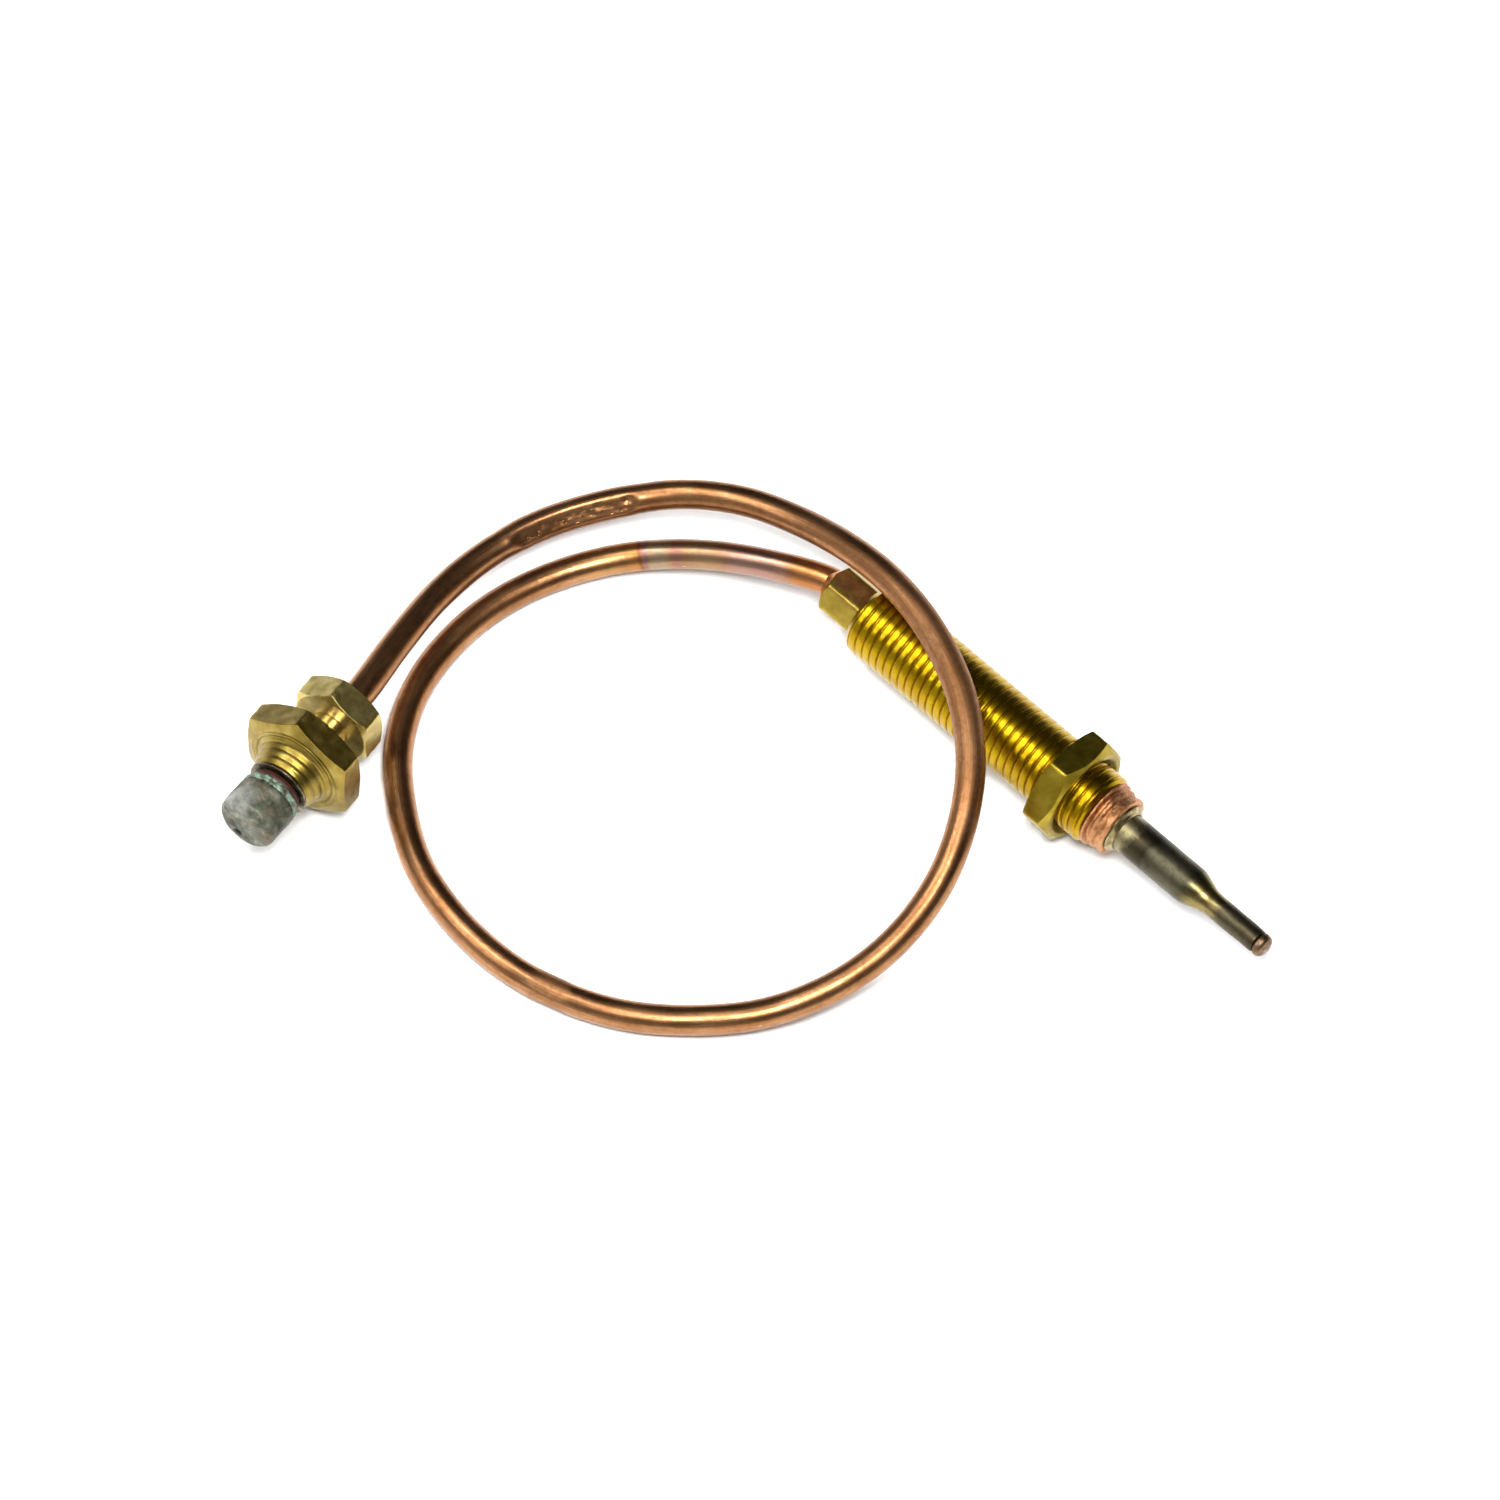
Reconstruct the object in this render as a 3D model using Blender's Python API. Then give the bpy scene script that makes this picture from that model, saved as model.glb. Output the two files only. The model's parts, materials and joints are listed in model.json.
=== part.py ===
"""A gas thermocouple with an M8x1 threaded hot end, a looped copper lead and a screwed cold end.

The hot end lies along +X with its tip at +X, and the table is the plane z = 0. The origin is on
the table under the middle of the hot end. Sizes are in millimetres and are turned into metres by MM.
"""

import math

import bmesh
import bpy
from mathutils import Vector

MM = 0.001
SEGMENTS = 48
SMALL_SEGMENTS = 24
GAP = 0.1

# Hot end. Places along the axis count from the rear end of the M8x1 thread.
HOT_AXIS_X = -25.4
LOCKNUT_FLATS = 11.0
LOCKNUT_TURN = -10.0
HOT_AXIS_Z = 5.98
THREAD_R = 4.0
THREAD_LENGTH = 33.2
THREAD_CHAMFER = 0.7
SLEEVE_BORE_R = 2.4
LOCKNUT_REAR = 27.4
LOCKNUT_THICK = 3.1
LOCKNUT_FACE_R = 5.2
LOCKNUT_BORE_R = 4.15
FERRULE_FLATS = 5.2
FERRULE_LENGTH = 4.6
FERRULE_SHANK = 6.0
COLLAR_START = THREAD_LENGTH + GAP
COLLAR_END = 35.8
PROBE_R = 2.1
PROBE_WALL = 0.6
PROBE_START = 22.0
TAPER_START = 45.6
TAPER_END = 48.4
TIP_R = 1.28
TIP_WALL = 0.4
TIP_END = 56.0
CORE_R = 0.4

# Cold end. Places along the axis count from just inside the rear of the small hexagon.
COLD_AXIS_START = (-55.6, -44.85, 6.4)
COLD_HEADING = math.radians(-80.0)
COLD_TILT = math.radians(5.0)
COLD_HEX_TURN = 33.0
NUT_FLATS = 12.0
HEX_FLATS = 8.6
HEX_REAR = 0.2
HEX_FRONT = 3.3
NECK_R = 2.1
NECK_END = 12.65
NUT_REAR = 6.5
NUT_HEX_END = 9.7
NUT_END = 12.2
NUT_BORE_R = 2.35
NUT_FACE_R = 4.45
WASHER_THICK = 0.3
FIBRE_START = NECK_END + GAP
FIBRE_END = 13.4
CUP_END = 14.3
TIP_LENGTH = 18.4
CONTACT_R = 3.25
WASHER_R = 3.45
FIBRE_R = 2.9

# Copper lead, from inside the rear ferrule, round one loop and over the sleeve to the small hexagon.
LEAD_R = 1.55
LEAD_WALL = 0.4
INSULATION_R = 0.85
INSULATION_WALL = 0.35
WIRE_R = 0.35
LEAD_STEP = 4.0 * LEAD_R
LEAD_ROUTE = (
    (-25.2, 0.0, 6.0),
    (-28.3, 0.0, 6.0),
    (-31.4, -0.05, 6.0),
    (-37.9, -2.8, 5.1),
    (-43.9, -6.2, 3.8),
    (-49.2, -10.8, 2.5),
    (-53.0, -16.6, 1.8),
    (-55.2, -23.3, 1.6),
    (-55.5, -30.3, 1.6),
    (-53.9, -37.2, 1.6),
    (-50.3, -43.2, 1.6),
    (-45.0, -47.9, 1.6),
    (-38.9, -51.4, 1.6),
    (-32.1, -53.1, 1.6),
    (-25.0, -53.3, 1.6),
    (-18.1, -51.8, 1.6),
    (-11.8, -48.8, 1.7),
    (-6.3, -44.3, 1.9),
    (-1.7, -39.0, 2.5),
    (1.4, -32.7, 3.6),
    (2.7, -26.0, 4.9),
    (2.2, -19.1, 6.6),
    (-0.1, -12.8, 8.7),
    (-4.1, -7.2, 10.7),
    (-9.5, -2.9, 11.8),
    (-15.9, 0.1, 12.0),
    (-22.7, 1.9, 11.6),
    (-29.6, 2.5, 10.4),
    (-36.5, 2.1, 8.6),
    (-43.2, 0.4, 7.2),
    (-49.2, -3.1, 5.9),
    (-53.8, -8.3, 4.9),
    (-57.3, -14.4, 4.3),
    (-59.1, -21.2, 4.2),
    (-59.1, -28.3, 4.7),
    (-57.8, -35.2, 5.5),
    (-56.12, -41.91, 6.14),
    (-55.6, -44.85, 6.4),
    (-55.08, -47.79, 6.66),
    (-54.56, -50.74, 6.92),
)

BRASS = ("brass", (0.55, 0.40, 0.10), 0.25, 1.0)
DULL_BRASS = ("dull_brass", (0.34, 0.28, 0.09), 0.42, 1.0)
COPPER = ("copper", (0.52, 0.25, 0.14), 0.30, 1.0)
PINK_COPPER = ("pink_copper", (0.62, 0.30, 0.19), 0.40, 1.0)
STEEL = ("probe_steel", (0.22, 0.21, 0.16), 0.30, 1.0)
BURNT_STEEL = ("burnt_steel", (0.14, 0.09, 0.06), 0.45, 1.0)
CONSTANTAN = ("constantan", (0.50, 0.46, 0.40), 0.35, 1.0)
GLASS_FIBRE = ("glass_fibre", (0.75, 0.72, 0.62), 0.80, 0.0)
VARNISH = ("wire_varnish", (0.20, 0.09, 0.05), 0.50, 0.0)
FIBRE = ("red_fibre", (0.10, 0.03, 0.02), 0.70, 0.0)
PALE_METAL = ("pale_metal", (0.52, 0.50, 0.42), 0.45, 1.0)
GREEN_BRASS = ("greened_brass", (0.30, 0.42, 0.34), 0.60, 0.6)
SOLDER = ("solder", (0.34, 0.34, 0.29), 0.50, 0.9)


def clear_scene():
    for thing in list(bpy.data.objects):
        bpy.data.objects.remove(thing, do_unlink=True)


def material(kind):
    """The material of one kind of metal or insulation, made on its first use."""
    name, colour, roughness, metallic = kind
    made = bpy.data.materials.get(name)
    if made is None:
        made = bpy.data.materials.new(name)
        made.use_nodes = True
        shader = made.node_tree.nodes["Principled BSDF"]
        shader.inputs["Base Color"].default_value = (*colour, 1.0)
        shader.inputs["Roughness"].default_value = roughness
        shader.inputs["Metallic"].default_value = metallic
        made.diffuse_color = (*colour, 1.0)
    return made


def place(thing, parent, along=0.0):
    """Link an object and set it on its parent's local X axis."""
    bpy.context.scene.collection.objects.link(thing)
    thing.parent = parent
    thing.location = (along * MM, 0.0, 0.0)
    return thing


def axis_empty(name, start, heading=0.0, tilt=0.0):
    """An empty whose local X axis is the axis of one end of the object, tilted up by tilt."""
    empty = bpy.data.objects.new(name, None)
    bpy.context.scene.collection.objects.link(empty)
    empty.location = Vector(start) * MM
    empty.rotation_euler = (0.0, -tilt, heading)
    return empty


def round_shade(mesh):
    mesh.shade_smooth()
    mesh.set_sharp_from_angle(angle=math.radians(32.0))


def turned_mesh(name, outline, kind, segments):
    """A solid of revolution about local X. outline is a closed run of (along, radius) points."""
    build = bmesh.new()
    points = [build.verts.new((along * MM, 0.0, radius * MM)) for along, radius in outline]
    pairs = zip(points, points[1:] + points[:1])
    edges = [build.edges.new(pair) for pair in pairs if pair[0].co.z > 0.0 or pair[1].co.z > 0.0]
    bmesh.ops.spin(
        build,
        geom=points + edges,
        cent=(0.0, 0.0, 0.0),
        axis=(1.0, 0.0, 0.0),
        angle=math.tau,
        steps=segments,
        use_merge=True,
    )
    bmesh.ops.remove_doubles(build, verts=build.verts, dist=1e-7)
    bmesh.ops.recalc_face_normals(build, faces=build.faces)
    mesh = bpy.data.meshes.new(name)
    build.to_mesh(mesh)
    build.free()
    mesh.materials.append(material(kind))
    round_shade(mesh)
    return mesh


def turned(name, outline, kind, parent, along=0.0, segments=SEGMENTS):
    mesh = turned_mesh(name, outline, kind, segments)
    return place(bpy.data.objects.new(name, mesh), parent, along)


def hexagon(name, outline, across_flats, kind, parent, along=0.0, turn=0.0):
    """A turned piece whose widest part is cut to a hexagon, turned from having two flats level."""
    piece = turned(name, outline, kind, parent, along)
    ends = [place_along for place_along, _ in outline]
    bar = rod_outline(min(ends) - 1.0, max(ends) + 1.0, across_flats / math.sqrt(3.0))
    guide = turned(name + "_guide", bar, kind, parent, along, segments=6)
    guide.rotation_euler = (math.radians(30.0 + turn), 0.0, 0.0)
    guide.hide_render = True
    guide.display_type = "WIRE"
    cut = piece.modifiers.new("flats", "BOOLEAN")
    cut.operation = "INTERSECT"
    cut.solver = "EXACT"
    cut.object = guide
    return piece


def tube_outline(start, end, inner, outer, chamfer):
    """The outline of a plain tube, chamfered outside at both ends."""
    return (
        (start, inner),
        (start, outer - chamfer),
        (start + chamfer, outer),
        (end - chamfer, outer),
        (end, outer - chamfer),
        (end, inner),
    )


def rod_outline(start, end, radius):
    return ((start, 0.0), (start, radius), (end, radius), (end, 0.0))


def dome_points(start, end, radius, count):
    """Points (along, radius) of a domed end, from its rim at start to just before its crown."""
    angles = [math.radians(90.0 * step / count) for step in range(count)]
    return tuple(
        (start + (end - start) * math.sin(angle), radius * math.cos(angle)) for angle in angles
    )


def spline_point(before, start, end, after, share):
    """A point on the Catmull-Rom curve from start to end."""
    square, cube = share * share, share * share * share
    return 0.5 * (
        2.0 * start
        + (end - before) * share
        + (2.0 * before - 5.0 * start + 4.0 * end - after) * square
        + (3.0 * start - 3.0 * end + after - before) * cube
    )


def smooth_route(route, step):
    """Evenly spaced points, about step apart, on one smooth curve through the route's points."""
    points = [Vector(point) for point in route]
    points = [2.0 * points[0] - points[1], *points, 2.0 * points[-1] - points[-2]]
    fine = [
        spline_point(*points[first : first + 4], share / 20.0)
        for first in range(len(points) - 3)
        for share in range(20)
    ]
    fine.append(points[-2])
    lengths = [0.0]
    for here, there in zip(fine, fine[1:]):
        lengths.append(lengths[-1] + (there - here).length)
    count = round(lengths[-1] / step)
    even, reach = [], 0
    for number in range(count + 1):
        wanted = lengths[-1] * number / count
        while reach < len(fine) - 2 and lengths[reach + 1] < wanted:
            reach += 1
        share = (wanted - lengths[reach]) / (lengths[reach + 1] - lengths[reach])
        even.append(fine[reach].lerp(fine[reach + 1], min(share, 1.0)))
    return even


def lead_curve(name, points, radius, wall, kind):
    """A round tube or wire along the lead's points. wall is 0 for a solid wire with filled ends."""
    curve = bpy.data.curves.new(name, "CURVE")
    curve.dimensions = "3D"
    curve.resolution_u = 1
    curve.bevel_depth = radius * MM
    curve.bevel_resolution = 2
    curve.use_fill_caps = not wall
    spline = curve.splines.new("POLY")
    spline.points.add(len(points) - 1)
    for target, point in zip(spline.points, points):
        target.co = (*(point * MM), 1.0)
    spline.use_smooth = True
    curve.materials.append(material(kind))
    tube = bpy.data.objects.new(name, curve)
    bpy.context.scene.collection.objects.link(tube)
    if wall:
        shell = tube.modifiers.new("wall", "SOLIDIFY")
        shell.thickness = wall * MM
        shell.offset = -1.0
        shell.use_rim = True
    return tube


def build_lead():
    points = smooth_route(LEAD_ROUTE, LEAD_STEP)
    lead_curve("lead_tube", points, LEAD_R, LEAD_WALL, COPPER)
    lead_curve("lead_insulation", points, INSULATION_R, INSULATION_WALL, GLASS_FIBRE)
    lead_curve("lead_wire", points, WIRE_R, 0.0, VARNISH)


def build_sleeve(axis):
    turned(
        "threaded_sleeve",
        tube_outline(0.0, THREAD_LENGTH, SLEEVE_BORE_R, THREAD_R, THREAD_CHAMFER),
        BRASS,
        axis,
    )
    corner = LOCKNUT_FLATS / math.sqrt(3.0)
    half = LOCKNUT_THICK / 2
    hexagon(
        "locknut",
        (
            (-half, LOCKNUT_BORE_R),
            (-half, corner - 0.7),
            (-half + 0.3, corner + 0.1),
            (half - 0.8, corner + 0.1),
            (half, LOCKNUT_FACE_R),
            (half, LOCKNUT_BORE_R),
        ),
        LOCKNUT_FLATS,
        DULL_BRASS,
        axis,
        LOCKNUT_REAR + half,
        LOCKNUT_TURN,
    )


def build_rear_ferrule(axis):
    """The hexagon swaged on the lead, with its shank in the sleeve, and the braze at its mouth."""
    corner = FERRULE_FLATS / math.sqrt(3.0)
    bore = LEAD_R + 0.15
    hexagon(
        "rear_ferrule",
        (
            (-FERRULE_LENGTH, bore),
            (-FERRULE_LENGTH, corner - 0.5),
            (-FERRULE_LENGTH + 0.4, corner + 0.05),
            (-GAP, corner + 0.05),
            (-GAP, SLEEVE_BORE_R - GAP),
            (FERRULE_SHANK, SLEEVE_BORE_R - GAP),
            (FERRULE_SHANK, bore),
        ),
        FERRULE_FLATS,
        DULL_BRASS,
        axis,
    )
    mouth = -FERRULE_LENGTH - GAP
    turned(
        "rear_braze_ring",
        ((mouth, bore), (mouth - 0.5, bore), (mouth - 0.3, bore + 0.4), (mouth, bore + 0.6)),
        PINK_COPPER,
        axis,
        segments=SMALL_SEGMENTS,
    )


def build_probe(axis):
    """The outer element of the probe with its front collar, braze and welded hot junction."""
    bore = PROBE_R + GAP
    turned(
        "front_collar",
        (
            (COLLAR_START, bore),
            (COLLAR_START, 3.5),
            (COLLAR_START + 0.4, 3.45),
            (COLLAR_START + 0.5, 3.0),
            (COLLAR_START + 0.8, 3.0),
            (COLLAR_START + 1.0, 3.25),
            (COLLAR_END - 0.3, 3.05),
            (COLLAR_END, 2.8),
            (COLLAR_END, bore),
        ),
        PINK_COPPER,
        axis,
    )
    rim = COLLAR_END + GAP
    turned(
        "front_braze_ring",
        ((rim, bore), (rim, 2.75), (rim + 0.2, 2.6), (rim + 0.45, bore + 0.1), (rim + 0.45, bore)),
        DULL_BRASS,
        axis,
    )
    inner, tip_inner = PROBE_R - PROBE_WALL, TIP_R - TIP_WALL
    bead_start = TIP_END - 1.1
    turned(
        "probe_sheath",
        (
            (PROBE_START, inner),
            (PROBE_START, PROBE_R),
            (TAPER_START - 0.4, PROBE_R),
            (TAPER_START + 0.4, PROBE_R - 0.15),
            (TAPER_END - 0.5, TIP_R + 0.12),
            (TAPER_END + 0.3, TIP_R),
            (bead_start - GAP, TIP_R),
            (bead_start - GAP, tip_inner),
            (TAPER_END, tip_inner),
            (TAPER_START, inner),
        ),
        STEEL,
        axis,
    )
    turned(
        "hot_junction_bead",
        (
            (bead_start, 0.0),
            (bead_start, TIP_R),
            *dome_points(bead_start + 0.3, TIP_END, TIP_R, 6),
            (TIP_END, 0.0),
        ),
        BURNT_STEEL,
        axis,
        segments=SMALL_SEGMENTS,
    )


def build_core(axis):
    """The inner element, its joint to the lead's wire, and the sleeving round both."""
    splice_start, splice_end = 7.5, 12.5
    wire_end = LEAD_ROUTE[0][0] - HOT_AXIS_X
    turned(
        "core_wire",
        rod_outline(10.2, TIP_END - 1.1 - GAP, CORE_R),
        CONSTANTAN,
        axis,
        segments=SMALL_SEGMENTS,
    )
    turned(
        "splice_tail",
        rod_outline(wire_end + GAP, 10.0, WIRE_R),
        PINK_COPPER,
        axis,
        segments=SMALL_SEGMENTS,
    )
    turned(
        "splice_sleeve",
        tube_outline(splice_start, splice_end, CORE_R + GAP, 0.9, 0.1),
        BRASS,
        axis,
        segments=SMALL_SEGMENTS,
    )
    turned(
        "core_sleeving",
        (
            (6.6, 1.0),
            (6.6, 1.4),
            (20.0, 1.4),
            (23.0, 0.82),
            (TIP_END - 2.2, 0.82),
            (TIP_END - 2.2, 0.52),
            (22.0, 0.52),
            (19.0, 1.0),
        ),
        GLASS_FIBRE,
        axis,
        segments=SMALL_SEGMENTS,
    )


def build_terminal(axis):
    """The hexagon and neck that the lead ends in."""
    corner = HEX_FLATS / math.sqrt(3.0)
    bore = LEAD_R + 0.15
    hexagon(
        "terminal_body",
        (
            (HEX_REAR, bore),
            (HEX_REAR, corner - 0.8),
            (HEX_REAR + 0.4, corner + 0.1),
            (HEX_FRONT - 0.4, corner + 0.1),
            (HEX_FRONT, corner - 0.8),
            (HEX_FRONT, NECK_R),
            (NECK_END, NECK_R),
            (NECK_END, bore),
        ),
        HEX_FLATS,
        DULL_BRASS,
        axis,
        turn=COLD_HEX_TURN,
    )


def build_connection(axis):
    """The nut that screws into the gas valve, and the washer that it pushes with."""
    corner = NUT_FLATS / math.sqrt(3.0)
    hexagon(
        "connection_nut",
        (
            (0.0, NUT_BORE_R),
            (0.0, corner - 0.9),
            (0.45, corner + 0.1),
            (NUT_HEX_END - NUT_REAR - 0.55, corner + 0.1),
            (NUT_HEX_END - NUT_REAR - 0.15, corner - 0.9),
            (NUT_HEX_END - NUT_REAR - 0.15, NUT_FACE_R),
            (NUT_HEX_END - NUT_REAR, NUT_FACE_R),
            (NUT_HEX_END - NUT_REAR, THREAD_R),
            (NUT_END - NUT_REAR - 0.8, THREAD_R),
            (NUT_END - NUT_REAR, THREAD_R - 0.6),
            (NUT_END - NUT_REAR, NUT_BORE_R),
        ),
        NUT_FLATS,
        DULL_BRASS,
        axis,
        NUT_REAR,
        COLD_HEX_TURN,
    )
    turned(
        "thrust_washer",
        tube_outline(0.0, WASHER_THICK, NUT_BORE_R, WASHER_R, 0.1),
        PALE_METAL,
        axis,
        NUT_END + GAP / 2,
    )


def build_contact(axis):
    """The insulating washer with its hub in the neck, the contact cup and its coat of solder."""
    hub_r = LEAD_R + 0.05
    turned(
        "insulating_washer",
        (
            (8.5, WIRE_R + 0.15),
            (8.5, hub_r),
            (FIBRE_START, hub_r),
            (FIBRE_START, FIBRE_R),
            (FIBRE_END, FIBRE_R),
            (FIBRE_END, WIRE_R + 0.15),
        ),
        FIBRE,
        axis,
    )
    turned(
        "contact_cup",
        (
            (FIBRE_END + GAP, WIRE_R + 0.15),
            (FIBRE_END + GAP, CONTACT_R),
            (FIBRE_END + 0.3, CONTACT_R + 0.1),
            (CUP_END - 0.2, CONTACT_R + 0.1),
            (CUP_END, CONTACT_R),
            (CUP_END, WIRE_R + 0.15),
        ),
        GREEN_BRASS,
        axis,
    )
    turned(
        "contact_wire",
        rod_outline(6.2, CUP_END + 1.0, WIRE_R),
        PINK_COPPER,
        axis,
        segments=SMALL_SEGMENTS,
    )
    solder_start = CUP_END + GAP
    turned(
        "solder_tip",
        (
            (solder_start + 1.2, 0.0),
            (solder_start + 1.2, WIRE_R + 0.15),
            (solder_start, WIRE_R + 0.15),
            (solder_start, CONTACT_R),
            (TIP_LENGTH - 0.8, CONTACT_R),
            (TIP_LENGTH - 0.2, 2.8),
            (TIP_LENGTH, 1.9),
            (TIP_LENGTH, 0.0),
        ),
        SOLDER,
        axis,
    )


def main():
    clear_scene()
    hot_axis = axis_empty("hot_end_axis", (HOT_AXIS_X, 0.0, HOT_AXIS_Z))
    cold_axis = axis_empty("cold_end_axis", COLD_AXIS_START, COLD_HEADING, COLD_TILT)
    build_sleeve(hot_axis)
    build_rear_ferrule(hot_axis)
    build_probe(hot_axis)
    build_core(hot_axis)
    build_lead()
    build_terminal(cold_axis)
    build_connection(cold_axis)
    build_contact(cold_axis)
    bpy.context.view_layer.update()


main()
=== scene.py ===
"""The looks of the gas thermocouple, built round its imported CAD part.

The hot end lies along +X on the table z = 0. Sizes are in millimetres and MM turns them into metres.
"""

import json
import math

import bmesh
import bpy
import numpy as np
from mathutils import Matrix, Vector


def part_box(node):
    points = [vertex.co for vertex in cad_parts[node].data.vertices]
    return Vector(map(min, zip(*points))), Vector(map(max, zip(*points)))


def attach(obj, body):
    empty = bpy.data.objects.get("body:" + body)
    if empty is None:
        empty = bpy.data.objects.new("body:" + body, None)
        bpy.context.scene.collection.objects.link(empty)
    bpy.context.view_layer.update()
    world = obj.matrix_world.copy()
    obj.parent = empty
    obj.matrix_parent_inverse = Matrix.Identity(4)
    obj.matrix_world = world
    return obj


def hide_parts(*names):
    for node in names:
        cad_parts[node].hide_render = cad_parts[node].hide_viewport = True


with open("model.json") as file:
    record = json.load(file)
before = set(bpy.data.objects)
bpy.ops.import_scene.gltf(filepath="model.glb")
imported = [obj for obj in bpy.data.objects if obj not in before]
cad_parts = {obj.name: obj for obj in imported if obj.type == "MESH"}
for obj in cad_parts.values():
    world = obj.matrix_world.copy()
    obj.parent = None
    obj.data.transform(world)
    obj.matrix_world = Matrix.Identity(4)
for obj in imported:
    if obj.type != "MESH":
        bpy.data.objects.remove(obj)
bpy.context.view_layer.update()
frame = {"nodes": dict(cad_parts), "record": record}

MM = 0.001

# Camera: it looks down at 60 degrees from the level, from far away.
CAMERA_RIGHT = Vector((0.7148, 0.6993, 0.0))
CAMERA_AWAY = Vector((-0.6993, 0.7148, 0.0))
CAMERA_UP = Vector((-0.6056, 0.6190, 0.5))
CAMERA_BACK = Vector((0.3497, -0.3574, 0.866))
CAMERA_TARGET = Vector((-25.3, -17.5, 0.0)) + 0.12 * CAMERA_UP
CAMERA_DISTANCE = 1600.0
FIELD_WIDTH = 153.06
SENSOR_WIDTH = 36.0
CLIP_M = (0.1, 10.0)
FLOOR_M = 4.0

# Light: the room's grey by how far a direction turns from the light side, 0 away from it and 1 at it,
# and how much of it is left by the height of the direction.
ROOM_LIGHT_SIDE = (-0.50, -0.86, 0.0)
ROOM_GREYS = ((0.0, 0.03), (0.50, 0.05), (0.64, 0.30), (0.80, 0.66), (1.0, 0.75))
ROOM_HEIGHTS = ((0.0, 0.8), (0.34, 0.8), (0.56, 0.20), (0.70, 0.05), (1.0, 0.05))
# Soft boxes: name, how far up, right and away from the camera they are, distance and size in metres,
# and watts.
SOFTBOXES = (
    ("top_box", (0.92, -0.37, 0.10), 0.60, (0.075, 0.075), 0.9),
    ("left_box", (0.81, -0.58, -0.02), 0.60, (0.05, 0.06), 0.55),
    ("low_left_box", (0.66, -0.72, -0.21), 0.60, (0.05, 0.05), 0.42),
    ("camera_box", (0.92, 0.02, -0.36), 0.60, (0.17, 0.12), 3.4),
    ("floor_fill", (1.0, 0.0, 0.0), 0.90, (1.6, 1.6), 15.0),
)

# Copper lead, from inside the rear ferrule, round one loop and over the sleeve to the small hexagon.
LEAD_R = 1.55
LEAD_RINGS = 1500
LEAD_SIDES = 44
LEAD_ROUTE = (
    (-25.2, 0.0, 6.0), (-28.3, 0.0, 6.0), (-31.4, -0.05, 6.0), (-37.9, -2.8, 5.1),
    (-43.9, -6.2, 3.8), (-49.2, -10.8, 2.5), (-53.0, -16.6, 1.8), (-55.2, -23.3, 1.6),
    (-55.5, -30.3, 1.6), (-53.9, -37.2, 1.6), (-50.3, -43.2, 1.6), (-45.0, -47.9, 1.6),
    (-38.9, -51.4, 1.6), (-32.1, -53.1, 1.6), (-25.0, -53.3, 1.6), (-18.1, -51.8, 1.6),
    (-11.8, -48.8, 1.7), (-6.3, -44.3, 1.9), (-1.7, -39.0, 2.5), (1.4, -32.7, 3.6),
    (2.7, -26.0, 4.9), (2.2, -19.1, 6.6), (-0.1, -12.8, 8.7), (-4.1, -7.2, 10.7),
    (-9.5, -2.9, 11.8), (-15.9, 0.1, 12.0), (-22.7, 1.9, 11.6), (-29.6, 2.5, 10.4),
    (-36.5, 2.1, 8.6), (-43.2, 0.4, 7.2), (-49.2, -3.1, 5.9), (-53.8, -8.3, 4.9),
    (-57.3, -14.4, 4.3), (-59.1, -21.2, 4.2), (-59.1, -28.3, 4.7), (-57.8, -35.2, 5.5),
    (-56.12, -41.91, 6.14), (-55.6, -44.85, 6.4), (-55.08, -47.79, 6.66), (-54.56, -50.74, 6.92),
)
# Land that is pressed flat for the stamped marks, along the lead.
LAND_START = 209.5
LAND_END = 222.5
LAND_TURN = -0.75
# Flats and dents of the lead: place along, angle, depth of the flat, half length.
LEAD_FLATS = (
    ((LAND_START + LAND_END) / 2, LAND_TURN, 0.34, (LAND_END - LAND_START) / 2),
    (97.4, 2.2, 0.30, 1.1),
    (94.6, 0.7, 0.12, 1.6),
    (26.4, 0.1, 0.07, 0.9),
    (148.0, 1.1, 0.10, 2.4),
    (166.0, -0.9, 0.09, 2.0),
    (59.5, 0.4, 0.06, 1.4),
)

# Heat tint on the lead, with one painted highlight band in the second table: start, end, softness,
# strength and colour.
HEAT_ZONES = (
    (4.0, 10.0, 1.2, 0.70, (0.36, 0.145, 0.045)),
    (10.5, 17.0, 1.8, 0.55, (0.32, 0.21, 0.20)),
    (17.5, 21.5, 1.5, 0.55, (0.30, 0.22, 0.13)),
)
HEAT_AND_HIGHLIGHT_BANDS = (
    (23.0, 25.4, 0.7, 0.60, (0.27, 0.24, 0.17)),
    (21.6, 22.8, 0.5, 0.45, (0.26, 0.13, 0.13)),
    (25.4, 25.9, 0.2, 0.60, (0.20, 0.12, 0.15)),
    (26.0, 26.4, 0.16, 0.75, (0.19, 0.065, 0.03)),
    (26.5, 27.6, 0.4, 0.50, (0.44, 0.19, 0.045)),
    # painted highlight: a lighter pale orange band past the orange tint
    (28.0, 32.0, 1.2, 0.35, (0.50, 0.28, 0.10)),
)
# Stretches of the lead that are rubbed dull: over the sleeve, and at the dent.
RUBBED = ((150.0, 176.0, 5.0), (95.0, 98.6, 0.8))

# M8x1 thread of the sleeve: crest radius, depth, pitch, and the half width of its crest in pitches.
CREST_R = 4.0
THREAD_DEPTH = 0.24
PITCH = 1.0
HALF_CREST = 0.33
CREST_WEAR = 0.003
SLEEVE_BORE_R = 2.4

# Hexagons: width across flats, how far they are turned, and the steps of their mesh round the axis.
LOCKNUT_FLATS = 11.0
LOCKNUT_TURN = math.radians(-10.0)
FERRULE_FLATS = 5.2
SMALL_HEX_FLATS = 8.6
SMALL_HEX_LENGTH = 3.1
UNION_FLATS = 12.0
UNION_HEX_LENGTH = 3.2
COLD_HEX_TURN = math.radians(33.0)
HEX_SIDES = 360
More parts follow.
